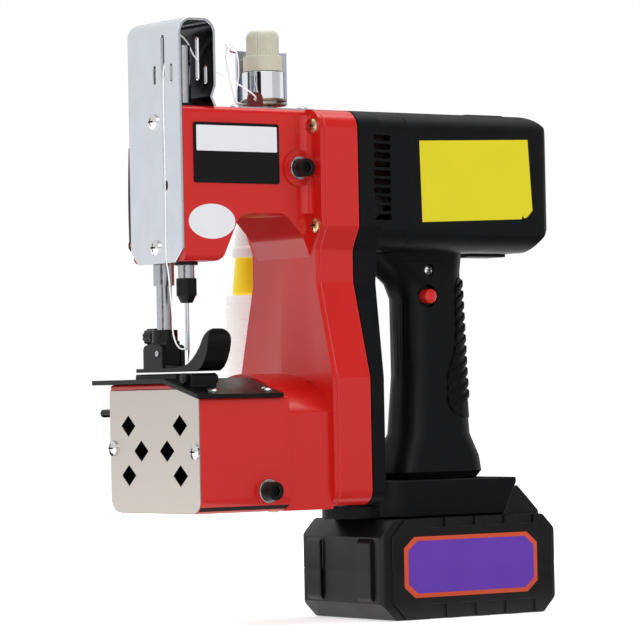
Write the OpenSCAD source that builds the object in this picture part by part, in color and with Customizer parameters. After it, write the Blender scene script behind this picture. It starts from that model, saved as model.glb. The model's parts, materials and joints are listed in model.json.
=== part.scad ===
// Hand-held cordless bag closer sewing machine.
// Origin: centre of the battery's bottom face. +Z up, -X towards the needle, +Y towards the thread spool.
// All lengths are in millimetres.

/* [Battery] */
// Length of the battery along X
battery_len = 121; // [112:1:132]
// Width of the battery over its side panels
battery_w = 77; // [72:1:84]
// Height of the battery from the rest face to its top deck
battery_h = 55.4; // [52:0.2:60]
// Chamfer along the battery's upper and lower end edges
battery_chamfer = 9.5; // [6:0.5:11]
// Diameter of one battery cell
cell_d = 18.3; // [17:0.1:18.4]

/* [Handle] */
// Length of the battery shoe
shoe_len = 96; // [90:1:104]
// Width of the battery shoe
shoe_w = 54; // [50:1:60]
// Height of the battery shoe
shoe_h = 20.6; // [19:0.2:24]
// Height of the grip between shoe and motor housing
grip_h = 127; // [120:1:135]
// Fore and aft length of the grip's waist
grip_len = 42; // [39:1:46]
// Thickness of the grip's waist
grip_d = 31; // [29.4:0.2:34]
// Diameter of the start button
button_d = 7.8; // [6:0.2:9]
// Travel of the start button
button_travel = 3; // [2:0.5:4]

/* [Motor] */
// Height of the motor housing
motor_h = 77.6; // [76:0.2:84]
// Width of the motor housing
motor_w = 69; // [66:1:76]
// Distance from the battery's centre to the motor housing's rear end
motor_tail = 66; // [62:1:74]
// Length of the vented front housing behind the column cover
front_len = 35.5; // [32:0.5:40]
// Diameter of the motor can
can_d = 54; // [48:1:56]
// Number of vent slots on each side
vent_count = 10; // [6:1:10]
// Height of one vent slot
vent_h = 3.4; // [2:0.2:3.8]
// Spacing of the vent slots
vent_pitch = 4.84; // [4.4:0.02:5]

/* [Column] */
// Distance from the battery's centre to the back of the column cover
column_reach = 72.5; // [70:0.5:78]
// Depth of the column cover
cover_t = 22.9; // [20:0.1:28]
// Thickness of the casting's flange
flange_t = 3.1; // [2.5:0.1:5]
// Half width of the column beside the arm
head_half = 36.6; // [35:0.2:40]
// Half width of the column's waist
waist_half = 30; // [28:0.5:33]
// Thickness of the black back plate at the foot of the column
back_t = 8.5; // [6:0.5:11]
// Wall thickness of castings and covers
wall = 4; // [3:0.5:5]

/* [Arm] */
// Length of the arm from the flange to the needle cover
arm_len = 81.9; // [78:0.1:88]
// Half width of the arm
arm_half = 25.1; // [24.4:0.1:27]
// Height of the arm at its nose
arm_h = 83.2; // [81:0.2:88]
// Height from the nose's underside up to the throat's ceiling
throat_rise = 26.2; // [22:0.2:28]
// Thickness of the needle cover sheet
sheet_t = 1.6; // [1:0.1:2]
// Height of the needle cover above the arm
cover_rise = 47; // [44:0.5:54]

/* [Base] */
// Height of the base's underside above the rest face
base_clear = 62.9; // [60:0.1:66]
// Height of the base block
base_h = 69.5; // [66:0.5:73]
// Length from the flange to the base's end face
base_len = 86.5; // [82:0.5:92]
// Half width of the base block
base_half = 43.6; // [42:0.2:46]
// Thickness of the bag guide plate
guide_t = 2.5; // [2:0.1:3.5]

/* [Sewing mechanism] */
// Needle axis, distance from the arm's end face
needle_in = 9.4; // [9:0.1:10]
// Needle axis, distance in front of the arm's middle
needle_y = 12; // [11:0.2:13]
// Presser bar axis, distance behind the arm's middle
presser_y = 10; // [9:0.2:11]
// Diameter of the needle bar
bar_d = 8.8; // [7.6:0.2:9.2]
// Diameter of the presser bar
presser_d = 8.4; // [7.4:0.2:8.8]
// Diameter of the needle
needle_d = 2.3; // [1.8:0.1:2.6]
// Radius of the crank, half the needle's stroke
crank_r = 12; // [10:0.5:12]
// Diameter of the main and lower shafts
shaft_d = 10; // [8:0.5:11]
// Outer diameter of the shaft bearings
bearing_d = 26; // [24:0.5:28]
// Width of the shaft bearings
bearing_w = 8; // [7:0.5:9]
// Lift of the presser foot
foot_lift = 6; // [4:0.5:6]
// Travel of the feed dog each way
feed_travel = 2.5; // [1.5:0.5:3]

/* [Thread tension] */
// Tension post axis, distance from the flange
tension_in = 13.5; // [12:0.5:18]
// Diameter of the tension discs
disc_d = 25; // [22:0.5:26]
// Diameter of the tension cup
cup_d = 23; // [21:0.5:25]
// Diameter of the ribbed knob
knob_d = 18.2; // [16:0.2:20]
// Number of ribs round the knob
knob_ribs = 20; // [12:1:28]

/* [Thread spool] */
// Spool axis, distance from the machine's middle plane
spool_y = 62; // [61:0.5:70]
// Largest radius of the wound thread
spool_r = 14; // [12.5:0.1:15]
// Height of the wound thread
spool_h = 84.6; // [76:0.2:90]
// Number of thread turns in the outer layer
spool_turns = 20; // [12:1:22]
// Diameter of one wound strand
strand_d = 2.4; // [1.4:0.1:2.6]

/* [Hidden] */
$fn = 64;
eps = 0.01;
// Clearances: sliding parts, running fits and seats of fixed pieces
slide_gap = 0.4;
run_gap = 0.05;
seat_gap = 0.05;

// Heights
shoe_z = battery_h + slide_gap;
shoe_top = shoe_z + shoe_h;
motor_z = shoe_top + grip_h;
motor_top = motor_z + motor_h;
arm_top = motor_top - 0.4;
arm_low = arm_top - arm_h;
throat_z = arm_low + throat_rise;
main_z = arm_top - 32.6;
base_z = base_clear;
base_top = base_z + base_h;
guide_z = base_top + guide_t;
lower_z = base_z + 35;
column_z = base_z + 1.5;

// Stations along X
cover_back = -column_reach;
cover_front = cover_back - cover_t;
flange_x = cover_front - flange_t;
arm_x = flange_x - arm_len;
base_x = flange_x - base_len;
block_len = 57.5;
// The column's foot stands a little proud of the base block
foot_half = base_half + 0.4;
block_end = base_x + block_len;
seam_x = cover_back + front_len;
needle_x = arm_x + needle_in;
grip_x = 0.3;

// Bearing webs, by the web's low X face
upper_webs = [arm_x + 39.4, flange_x - bearing_w - 0.5];
lower_webs = [block_end - wall, flange_x - bearing_w - 5.5];

// Base ramp on the bag's entry side
ramp_y = -12.8;
ramp_slope = 0.26;
ramp_drop = ramp_slope * (base_half + ramp_y);

// Column outline: levels of its breaks, half widths and corner radii
head_low = arm_top - 64.6;
waist_high = arm_top - 76.6;
waist_low = arm_top - 94.6;
flare_z = base_z + 71;
column_foot_r = 8;
column_top_r = 11;
crease_r = 4;

// Crank drive
rod_len = 25;
rod_t = 5;
rod_x = arm_x + 17.6;
crank_x = rod_x + rod_t + slide_gap;
crank_t = 7;
crank_pin_r = 4;
pin_z = main_z + crank_r;
small_end_z = pin_z - rod_len;

// Fasteners
pan_r = 4.15;
pan_h = 2.6;
pan_shank_r = 2;
pan_shank = 7;
cap_head_r = 5;
cap_head_h = 6;
cap_shank_r = 3;
washer_r = 6.35;
washer_t = 1.2;
small_r = 3;
small_h = 1.8;
small_shank_r = 1.5;
small_shank = 5;
brass_r = 4;
brass_h = 2;
upper_cap = [flange_x - 7, -arm_half - 1.6, main_z + 0.3];
lower_cap = [base_x + 43, -base_half, base_z + 11.2];
boss_r = 9.9;
boss_h = 1.6;
stop_screw = [base_x + 4, base_half, base_z + 54];
stop_len = 14;
stop_r = 2.2;
stop_shank_r = 1.5;

// Guide plate, its feed slot and what stands on it
guide_x = base_x - 3;
guide_len = 55.6;
guide_back = 58;
guide_front = -46;
feed_x = needle_x - 5;
feed_w = 10;
feed_y = -needle_y + 4.5;
feed_len = 39.6;
feed_top = guide_z + 2.9;
tooth_pitch = 2.2;
tooth_h = 1.1;

// Presser foot
sole_z = feed_top + 0.9;
sole_t = 2;
foot_x = needle_x - 7.5;
foot_w = 15;
pivot_y = presser_y - 4;
pivot_z = sole_z + 9.9;
pivot_r = 1.6;
ear_t = 2.6;
clamp_z = sole_z + 15.8;
clamp_h = 7;
clamp_r = 7;

// Thread tension stack on top of the arm
tension_x = flange_x - tension_in;
tension_y = -3;
strip_t = 1.4;
strip_z = arm_top + strip_t;
disc_t = 1;
disc_gap = 1.3;
disc_z = strip_z + 1.6;
cup_z = disc_z + 2 * disc_t + disc_gap + 1;
cup_h = 14;
collar_h = 8.5;
knob_h = 14;
post_r = 3;
bracket_y = 13;

// Spool stand behind the column
spool_x = cover_back - 4.3;
tray_z = base_z + 30;
tray_t = 2.5;
tray_r = spool_r + 2;
spindle_r = 3;
wind_z = tray_z + tray_t + 2.5;
wind_top = wind_z + spool_h;
wind_top_r = spool_r + 1.4;
tube_top = wind_top + 21;
tube_top_r = 9.4;
cap_h = 20;

// Grip stations: height share, front reach, rear reach and half thickness added to the waist
grip_levels = [
  [0, 9, 2.6, 3, 11],
  [0.033, 12, 5.8, 5.2, 12],
  [0.1, 10, 5, 4.2, 12],
  [0.2, 3.2, 1.6, 0.9, 13],
  [0.46, 0.4, 0, 0, 13],
  [0.8, 0.5, -2, 0.2, 13],
  [0.868, 4, -3, 0.7, 13],
  [0.918, 11.6, -3.5, 1.2, 13],
  [1.008, 30, -3.5, 3.2, 13]
];

// Route of the sewing thread: spool cap, bracket ear, tension discs, strip eyelet, needle cover, needle
thread_r = 0.4;
bracket_top = arm_top + 40.4;
ear_len = 4.3;
ear_eye = [tension_x - 8.4, bracket_y + 3, bracket_top - 3];
strip_y = -8;
strip_eye = [tension_x - 13, strip_y - 5.8, strip_z + 4.5];
disc_nip = disc_z + disc_t + disc_gap / 2;
cap_exit = [spool_x, spool_y, tube_top + cap_h + 0.5];
groove_y = -9.5;
groove_x = arm_x - sheet_t + 0.25;
clamp_nut_z = arm_low - 18.2;
needle_tip = clamp_nut_z - 35.4;
disc_loop = [
  [-12.4, 7.4, 0.8], [-10, 6.6, 0], [-5, 6.4, 0], [0, 7.6, 0], [5, 5.4, 0], [7.2, 0.4, 0], [5, -4.8, 0],
  [0, -7.4, 0], [-7, -8.6, 0], [-10.4, -8.4, 0.2]
];
thread_route = concat(
  [cap_exit, cap_exit + [-0.6, -0.8, 5], [flange_x - 0.9, head_half + 1.6, arm_top - 6]],
  [ear_eye + [-0.2, 4, -1], ear_eye, ear_eye + [-0.5, -5.5, -2.4]],
  [[tension_x - 10.5, tension_y + 8.4, arm_top + 20], [tension_x - 12.6, tension_y + 8, disc_nip + 5.4]],
  [for (p = disc_loop) [tension_x, tension_y, disc_nip] + p],
  [strip_eye + [0.5, 2, -0.3], strip_eye, strip_eye + [-0.3, -1, 0.2], strip_eye + [-3, -2.4, 2]],
  [[arm_x + 34.4, -13, arm_top + 18], [arm_x + 20.4, groove_y, arm_top + 26.4]],
  [for (p = [[12.4, 37.4], [8.4, 38.9], [3.9, 32.4], [-0.9, 20.4]]) [arm_x + p[0], groove_y,
    arm_top + p[1]]],
  [[groove_x, groove_y, arm_top + 15.4], [groove_x, groove_y, main_z], [groove_x, groove_y, arm_low - 1]],
  [[groove_x + 0.4, groove_y - 0.3, arm_low - 3.4]],
  [for (p = [[-8.6, 1.4, 26.2], [-7.6, 1, 12.2], [-4.5, 0.2, 7.2], [-1.6, 0, 7]])
    [needle_x, -needle_y, needle_tip] + p]
);

red = "#d2231f";
black = "#1c1c1f";
chrome = "#c9ccd0";
steel = "#a9adb2";
ivory = "#e2dfc9";
brass = "#b59a4c";

// Points of an arc in a plane, centre c, radius r, from angle a to angle b
function arc(c, r, a, b, n = 8) = [for (i = [0:n]) c + r * [cos(a + (b - a) * i / n),
  sin(a + (b - a) * i / n)]];
// The same outline mirrored in its vertical axis, in reverse order
function mirrored(pts) = [for (i = [len(pts) - 1:-1:0]) [-pts[i][0], pts[i][1]]];
// Outline points [u, v, radius]: each corner between the first and the last is rounded by its radius
function fillet(a, p, b, r, n = 6) =
  let (u = unit(a - p), v = unit(b - p), h = acos(u * v) / 2, c = p + unit(u + v) * (r / sin(h)))
    let (p0 = p + u * (r / tan(h)) - c, p1 = p + v * (r / tan(h)) - c)
      let (a0 = atan2(p0[1], p0[0]), turn = (atan2(p1[1], p1[0]) - a0 + 540) % 360 - 180)
        [for (i = [0:n]) c + r * [cos(a0 + turn * i / n), sin(a0 + turn * i / n)]];
function flat(p) = [p[0], p[1]];
function rounded(pts) = [
  for (i = [1:len(pts) - 2]) each pts[i][2] > 0
    ? fillet(flat(pts[i - 1]), flat(pts[i]), flat(pts[i + 1]), pts[i][2]) : [flat(pts[i])]
];
function cross_unit(a, b) = let (c = cross(a, b)) c / norm(c);
function unit(a) = a / norm(a);

// Swept tube: the ring of point i stands square to the path there
function path_dir(p, i) = unit(p[min(i + 1, len(p) - 1)] - p[max(i - 1, 0)]);
function ring_side(d) = cross_unit(d, abs(d[2]) > 0.9 ? [1, 0, 0] : [0, 0, 1]);
function tube_points(p, r, n) = [
  for (i = [0:len(p) - 1], k = [0:n - 1])
    let (d = path_dir(p, i), u = ring_side(d), v = cross(d, u), a = 360 * k / n)
      p[i] + r * (cos(a) * u + sin(a) * v)
];
function tube_faces(m, n) = concat(
  [for (i = [0:m - 2], k = [0:n - 1]) [i * n + k, (i + 1) * n + k, i * n + (k + 1) % n]],
  [for (i = [0:m - 2], k = [0:n - 1]) [i * n + (k + 1) % n, (i + 1) * n + k, (i + 1) * n + (k + 1) % n]],
  [for (k = [1:n - 2]) [0, k, k + 1]],
  [for (k = [1:n - 2]) [(m - 1) * n, (m - 1) * n + k + 1, (m - 1) * n + k]]
);
module tube(path, r, sides) {
  polyhedron(tube_points(path, r, sides), tube_faces(len(path), sides));
}

// Helix round a vertical axis with radii r0 to r1, flat ends run straight for one strand diameter
function helix(axis, z0, z1, r0, r1, turns, steps) = [
  for (i = [0:turns * steps])
    let (t = i / (turns * steps), a = 360 * i / steps, r = r0 + (r1 - r0) * t)
      [axis[0] + r * cos(a), axis[1] + r * sin(a), z0 + (z1 - z0) * t]
];

// Extrusions along the three axes
module along_x(x0, t) {
  translate([x0, 0, 0]) rotate([90, 0, 90]) linear_extrude(t) children();
}
module along_y(y0, t) {
  translate([0, y0 + t, 0]) rotate([90, 0, 0]) linear_extrude(t) children();
}
module rod_x(x0, x1, r, y, z) {
  translate([x0, y, z]) rotate([0, 90, 0]) cylinder(h = x1 - x0, r = r);
}
module rod_y(x, y0, y1, r, z) {
  translate([x, y1, z]) rotate([90, 0, 0]) cylinder(h = y1 - y0, r = r);
}
module rod_z(x, y, z0, z1, r) {
  translate([x, y, z0]) cylinder(h = z1 - z0, r = r);
}
module block(x, y, z) {
  translate([x[0], y[0], z[0]]) cube([x[1] - x[0], y[1] - y[0], z[1] - z[0]]);
}
// Rectangle with round corners between two corner points
module round_rect(a, b, r) {
  translate([a[0] + r, a[1]]) square([b[0] - a[0] - 2 * r, b[1] - a[1]]);
  translate([a[0], a[1] + r]) square([b[0] - a[0], b[1] - a[1] - 2 * r]);
  for (x = [a[0] + r, b[0] - r], z = [a[1] + r, b[1] - r]) translate([x, z]) circle(r);
}
// Slot with round ends between two heights
module slot(y, z0, z1, w) {
  translate([y - w / 2, z0 + w / 2]) square([w, z1 - z0 - w]);
  for (z = [z0 + w / 2, z1 - w / 2]) translate([y, z]) circle(w / 2);
}
// Pan head screw with its head towards -X, seated at the origin
module pan_screw(r, h, shank_r, shank) {
  rotate([0, -90, 0]) intersection() {
    translate([0, 0, h - 2 * r]) sphere(2 * r);
    cylinder(h = h, r = r);
  }
  rotate([0, 90, 0]) cylinder(h = shank, r = shank_r);
}
module hex_x(x0, x1, across, y, z) {
  translate([x0, y, z]) rotate([0, 90, 0]) cylinder(h = x1 - x0, d = across / cos(30), $fn = 6);
}

// Outlines
column_side = rounded([
  [0, arm_top, 0], [head_half, arm_top, column_top_r], [head_half, head_low, crease_r],
  [waist_half, waist_high, crease_r], [waist_half, waist_low, crease_r], [foot_half, flare_z, crease_r],
  [foot_half, column_z, column_foot_r], [0, column_z, 0]
]);
module column_outline() {
  polygon(concat(column_side, mirrored(column_side)));
}
module column_cavity() {
  polygon(concat(
    [for (p = column_side) [max(0, p[0] - wall), min(max(p[1], column_z + wall), arm_top - wall)]],
    mirrored([for (p = column_side) [max(0, p[0] - wall), min(max(p[1], column_z + wall), arm_top - wall)]])
  ));
}
// Depth of the throat's rear slope below the throat's ceiling
throat_heel = 26;
module arm_outline() {
  polygon(rounded([
    [arm_x, arm_top, 0], [arm_x, arm_low, 0], [arm_x + 24, arm_low, 7], [arm_x + 36.6, throat_z, 9],
    [flange_x - 16.2, throat_z, 9], [flange_x - 4.8, throat_z - 12.1, 12], [flange_x + 1,
      throat_z - throat_heel, 0],
    [flange_x + 1, arm_top, 0], [arm_x, arm_top, 0], [arm_x, arm_low, 0]
  ]));
}
// Base cross-section, drawn in by an inset on every side and cut at a floor level
module base_outline(inset, floor_r) {
  b = base_half - inset;
  z = base_z + inset;
  top = base_top - inset;
  polygon(concat(
    [[ramp_y, top], [-b, top - ramp_slope * (b + ramp_y)]],
    arc([-b + floor_r, z + floor_r], floor_r, 180, 270),
    arc([b - floor_r, z + floor_r], floor_r, 270, 360),
    [[b, top]]
  ));
}

module foot_form() {
  crest = base_top + 4.6;
  reach = foot_half - 2.8;
  rise = 21;
  barrel = (reach * reach + rise * rise) / (2 * rise);
  intersection() {
    block([block_end - 1, flange_x + 1], [-reach, reach], [base_z, crest + 1]);
    rod_x(block_end - 1, flange_x + 1, barrel, 0, crest - barrel);
  }
}
// Shallow centre ridge on the column's inner face
module column_ridge() {
  low = base_top;
  high = throat_z - throat_heel + 1;
  tip = flange_x - 3.4;
  polyhedron(
    [[flange_x + 1, -foot_half + 4, low], [tip, 0, low], [flange_x + 1, foot_half - 4, low],
     [flange_x + 1, -arm_half + 2, high], [flange_x - 0.4, 0, high], [flange_x + 1, arm_half - 2, high]],
    [[2, 1, 0], [3, 4, 5], [1, 3, 0], [4, 3, 1], [2, 4, 1], [5, 4, 2], [3, 2, 0], [5, 2, 3]]
  );
}
// Concave fillet where the arm's sides meet the flange
arm_fillet = 6;
module arm_root() {
  for (s = [-1, 1]) translate([0, 0, throat_z]) linear_extrude(arm_top - throat_z - 3.5) polygon(concat(
    [[flange_x + 1, s * (arm_half + arm_fillet)], [flange_x + 1, s * (arm_half - 1)]],
    [[flange_x - arm_fillet, s * (arm_half - 1)]],
    [for (a = [0:15:90])
      [flange_x - arm_fillet * (1 - sin(a)), s * (arm_half + arm_fillet * (1 - cos(a)))]]
  ));
}
// Bosses in the arm's open end that take the needle cover's screws
boss_depth = 3;
boss_half = 5;
module cover_bosses() {
  for (s = needle_cover_screw_spots)
    block([arm_x - 2, arm_x + boss_depth], [s[0] - boss_half, s[0] + boss_half], [s[1] - boss_half,
      s[1] + boss_half]);
}
// Arm interior: crank chamber over the nose and shaft chamber behind the first web
module arm_chambers() {
  inner = arm_half - wall;
  floor_z = arm_low + 6;
  lid = arm_top - wall;
  difference() {
    intersection() {
      block([arm_x - 1, upper_webs[0]], [-inner, inner], [floor_z, lid]);
      along_y(-inner, 2 * inner) polygon([
        [arm_x - 2, arm_low], [arm_x + 19.4, arm_low], [arm_x + 33, throat_z + wall], [flange_x,
          throat_z + wall],
        [flange_x, arm_top], [arm_x - 2, arm_top]
      ]);
    }
    cover_bosses();
  }
  block([upper_webs[0] + bearing_w, upper_webs[1]], [-inner, inner], [throat_z + wall, lid]);
}
module base_chambers() {
  inner = foot_half - 8;
  along_x(base_x - 1, block_len + 1 - 2 * wall) base_outline(wall, 4);
  block([lower_webs[0] + bearing_w, lower_webs[1]], [-inner, inner], [base_z + wall, base_top - 26]);
  block([lower_webs[1] + bearing_w, cover_front + 1], [-inner, inner], [base_z + wall, base_top - 26]);
}
module shaft_bores() {
  for (x = upper_webs) rod_x(x - eps, x + bearing_w + 0.02, bearing_d / 2 + seat_gap, 0, main_z);
  rod_x(upper_webs[1], cover_front + 1, bearing_d / 2 + seat_gap, 0, main_z);
  for (x = lower_webs) rod_x(x - eps, x + bearing_w + 0.02, bearing_d / 2 + seat_gap, 0, lower_z);
  rod_x(block_end - 2 * wall - 1, lower_webs[0] + 1, bearing_d / 2 + seat_gap, 0, lower_z);
  rod_x(block_end - 2 * wall - 1, block_end - wall + 0.5, looper_r + run_gap, looper_y, looper_z);
}
lower_guide_r = 5.6;
upper_guide_r = 6;
sleeve_r = 5.7;
lifter_r = 3.2;
lifter_y = arm_half + lifter_r + slide_gap;
lifter_z = arm_low + 10.6;
lifter_x = arm_x + 1;
lifter_w = 9;
lifter_pin_r = 1.6;
looper_y = 19;
looper_z = base_z + 39;
looper_r = 4;
flange_screw_spots = [for (s = [-1, 1], z = [arm_top - 9.5, arm_top - 63.6]) [flange_x,
  s * (head_half - 6), z]];

module head_casting() {
  color(red) difference() {
    union() {
      intersection() {
        along_y(-arm_half, 2 * arm_half) arm_outline();
        along_x(arm_x, arm_len + 1) round_rect([-arm_half, arm_low], [arm_half, arm_top], 3.5);
      }
      along_x(flange_x, flange_t) column_outline();
      arm_root();
      column_ridge();
      foot_form();
      along_x(base_x, block_len) base_outline(0, 8);
      rod_y(upper_cap[0], upper_cap[1], -arm_half + 1, boss_r, upper_cap[2]);
      // Lifter ear with its pivot pin
      block([lifter_x + lifter_w + slide_gap, lifter_x + lifter_w + 4], [arm_half - 1, lifter_y + lifter_r],
        [lifter_z - 4, lifter_z + 4]);
      rod_x(lifter_x - slide_gap, lifter_x + lifter_w + 1, lifter_pin_r, lifter_y, lifter_z);
    }
    arm_chambers();
    base_chambers();
    shaft_bores();
    // Bushings of the needle bar and the presser bar
    rod_z(needle_x, -needle_y, arm_low - 1, arm_low + 7, lower_guide_r + seat_gap);
    rod_z(needle_x, -needle_y, arm_top - wall - 1, arm_top + 1, upper_guide_r + seat_gap);
    rod_z(needle_x, presser_y, arm_low - 1, arm_low + 7, sleeve_r + seat_gap);
    // Window for needle, looper and feed dog
    block([needle_x - 9, needle_x + 17], [ramp_y - 4, base_half - wall], [base_top - wall - 1,
      base_top + 1]);
    // Holes of the screws
    rod_y(upper_cap[0], upper_cap[1] - 1, -arm_half + 8, cap_shank_r + seat_gap, upper_cap[2]);
    rod_y(lower_cap[0], lower_cap[1] - 1, -base_half + 8, cap_shank_r + seat_gap, lower_cap[2]);
    rod_y(stop_screw[0], base_half - 5, base_half + 1, stop_shank_r + seat_gap, stop_screw[2]);
    for (p = flange_screw_spots) rod_x(flange_x - 1, cover_front + 1, pan_shank_r + seat_gap, p[1], p[2]);
    for (p = flange_screw_spots) rod_x(flange_x - arm_fillet - 1, flange_x, pan_r + slide_gap, p[1], p[2]);
    rod_y(upper_cap[0], -foot_half, upper_cap[1], washer_r + slide_gap, upper_cap[2]);
    for (s = needle_cover_screw_spots)
      rod_x(arm_x - 1, arm_x + boss_depth + 1, pan_shank_r + seat_gap, s[0], s[1]);
    for (s = looper_cover_screw_spots)
      rod_x(base_x - 1, base_x + pan_shank + 1, pan_shank_r + seat_gap, s[0], s[1]);
    for (p = guide_screw_spots) guide_screw_hole(p);
    for (x = strip_screw_x) rod_z(x, strip_y, arm_top - small_shank, arm_top + 1, small_shank_r + seat_gap);
    rod_z(tension_x, tension_y, arm_top - wall - 1, arm_top + 1, post_r + seat_gap);
    for (p = bottom_screw_spots) rod_z(p[0], p[1], p[2] - 1, p[2] + pan_shank + 1, pan_shank_r + seat_gap);
    bottom_plate(seat_gap);
  }
}

module column_cover() {
  color(red) difference() {
    along_x(cover_front, cover_t) column_outline();
    along_x(cover_front - 1, cover_t - wall + 1) column_cavity();
    rod_x(cover_back - wall - 1, cover_back + 1, shaft_d, 0, main_z);
    for (x = strip_screw_x) rod_z(x, strip_y, arm_top - small_shank, arm_top + 1, small_shank_r + seat_gap);
    for (p = flange_screw_spots)
      rod_x(cover_front - 1, flange_x + pan_shank + 1, pan_shank_r + seat_gap, p[1], p[2]);
    for (p = bottom_screw_spots) rod_z(p[0], p[1], p[2] - 1, p[2] + pan_shank + 1, pan_shank_r + seat_gap);
    for (x = stand_screw_x) rod_y(x, foot_half - 6, foot_half + 1, small_shank_r + seat_gap, stand_screw_z);
  }
}

// Motor housing section, drawn in by an inset
module motor_section(inset) {
  round_rect([-motor_w / 2 + inset, motor_z + inset], [motor_w / 2 - inset, motor_top - inset], 13 - inset);
}
vent_x = cover_back + 10;
vent_len = 13.3;
vent_z = motor_z + 16.8;
housing_wall = 3.5;
module motor_front_housing() {
  color(black) difference() {
    union() {
      along_x(cover_back, front_len) motor_section(0);
      intersection() {
        along_x(cover_back, 2 * back_t) column_outline();
        along_y(-foot_half - 1, 2 * foot_half + 2) polygon([
          [cover_back, base_z - 1], [cover_back + back_t, base_z - 1], [cover_back + back_t, flare_z],
          [cover_back + back_t + 7, motor_z - 8], [cover_back + back_t + 7, arm_top + 1], [cover_back,
            arm_top + 1]
        ]);
      }
    }
    along_x(cover_back + housing_wall, front_len) motor_section(housing_wall);
    rod_x(cover_back - 1, cover_back + housing_wall + 1, shaft_d, 0, main_z);
    for (i = [0:vent_count - 1], s = [-1, 1])
      translate([vent_x, 0, vent_z + i * vent_pitch])
        along_y(s > 0 ? motor_w / 2 - housing_wall - 1 : -foot_half, foot_half)
          round_rect([0, 0], [vent_len, vent_h], vent_h / 2 - 0.1);
  }
}

// Grip: rounded sections joined level by level, grown outwards by a skin
module grip_slice(i, skin) {
  g = grip_levels[i];
  x0 = grip_x - grip_len / 2 - g[1] - skin;
  x1 = grip_x + grip_len / 2 + g[2] + skin;
  d = grip_d / 2 + g[3] + skin;
  r = g[4];
  translate([0, 0, shoe_top + g[0] * grip_h]) for (x = [x0 + r, x1 - r], y = [-d + r, d - r])
    translate([x, y, 0]) cylinder(h = 0.02, r = r, $fn = 32);
}
module grip_loft(first, last, skin) {
  for (i = [first:last - 1]) hull() {
    grip_slice(i, skin);
    grip_slice(i + 1, skin);
  }
}
module motor_rear_form() {
  r = 10;
  top_r = 15;
  intersection() {
    along_x(seam_x, motor_tail - seam_x) motor_section(0);
    along_y(-motor_w, 2 * motor_w) polygon(concat(
      [[seam_x, motor_z], [motor_tail - 14, motor_z]],
      arc([motor_tail - r, motor_z + 2 * r], r, -50, 0, 6),
      arc([motor_tail - top_r - 2, motor_top - top_r], top_r, 0, 90), [[seam_x, motor_top]]
    ));
    translate([0, 0, motor_z - 1]) linear_extrude(motor_h + 2)
      round_rect([seam_x - 2 * r, -motor_w / 2], [motor_tail, motor_w / 2], r);
  }
}
// Raised brush cover ribs on top and below, over the parting line
module brush_rib(z0, z1) {
  block([24, 51], [-9, 9], [z0, z1]);
}
module handle_form() {
  motor_rear_form();
  grip_loft(0, 8, 0);
  brush_rib(motor_top - 2, motor_top + 1.8);
  brush_rib(motor_z - 1.8, motor_z + 2);
}
button_x = -11;
button_z = shoe_top + 102.6;
panel_screw_spot = [-10, shoe_top + 117.4];
panel_back = -grip_d / 2 + 6;
module panel_outline() {
  polygon([
    [-32, shoe_top + 122.2], [-4, shoe_top + 122.4], [-0.6, shoe_top + 120], [2.4, shoe_top + 111],
    [4.4, shoe_top + 78.5], [3.4, shoe_top + 73.6], [-9.3, shoe_top + 67], [-32, shoe_top + 61.6]
  ]);
}
module rubber_outline() {
  polygon([
    [11, shoe_top + 113], [8.6, shoe_top + 109], [9, shoe_top + 85], [7.3, shoe_top + 72],
    [2, shoe_top + 58], [1.5, shoe_top + 43], [4.9, shoe_top + 37.3], [13, shoe_top + 34],
    [40, shoe_top + 34], [40, shoe_top + 113]
  ]);
}
// Seat of the rubber insert: the grip's core inside it
module rubber_core() {
  translate([0, 0, shoe_top + 20]) linear_extrude(104)
    round_rect([grip_x - grip_len / 2 + 3, -grip_d / 2 + 2.6],
      [grip_x + grip_len / 2 - 4.4, grip_d / 2 - 2.6], 11);
}
module rubber_seat() {
  difference() {
    along_y(-grip_d, 2 * grip_d) rubber_outline();
    rubber_core();
  }
}
switch_x = [button_x - 8, button_x + 8];
switch_y = [panel_back + 0.6, panel_back + 14];
switch_z = [button_z - 12, button_z + 12];
module handle_hollow() {
  rod_x(seam_x - 1, motor_tail - 12, can_d / 2 + 0.25, 0, main_z);
  block([switch_x[0] - 2, switch_x[1] + 6], [switch_y[0], -switch_y[0]], [shoe_top + 14, motor_z + 8]);
}
module handle_half(side) {
  color(black) difference() {
    intersection() {
      handle_form();
      block([-150, 150], side < 0 ? [-100, 0] : [0, 100], [0, 400]);
    }
    handle_hollow();
    rubber_seat();
    block([-150, seam_x - 0.02], [-100, 100], [motor_z - 0.3, 400]);
    if (side < 0) along_y(-60, 60 + panel_back) panel_outline();
    if (side < 0) rod_y(
      panel_screw_spot[0], panel_back - 1, panel_back + small_shank, small_shank_r + seat_gap,
        panel_screw_spot[1]);
    if (side < 0) rod_y(button_x, panel_back - 1, switch_y[0] + 1, button_d / 2 + slide_gap, button_z);
  }
}
module handle_shell_near() {
  handle_half(-1);
}
module handle_shell_far() {
  handle_half(1);
}
rib_count = 11;
rib_pitch = 6.4;
module grip_rubber() {
  color("#232326") intersection() {
    union() {
      grip_loft(3, 7, 0.4);
      intersection() {
        grip_loft(3, 7, 1.2);
        for (i = [0:rib_count - 1]) translate([grip_x, -grip_d, shoe_top + 36 + i * rib_pitch])
          rotate([0, -28, 0]) cube([grip_len, 2 * grip_d, 2.4]);
      }
    }
    rubber_seat();
  }
}
module switch_panel() {
  color(black) difference() {
    intersection() {
      grip_loft(4, 8, 0);
      along_y(-60, 60 + panel_back) panel_outline();
    }
    rod_y(button_x, -60, 0, button_d / 2 + slide_gap, button_z);
    rod_y(button_x, -60, -grip_d / 2 + 2, button_d / 2 + 2.6, button_z);
    rod_y(panel_screw_spot[0], -60, 0, small_shank_r + seat_gap, panel_screw_spot[1]);
    rod_y(panel_screw_spot[0], -60, panel_screw_y, small_r + 0.3, panel_screw_spot[1]);
  }
}
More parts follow.
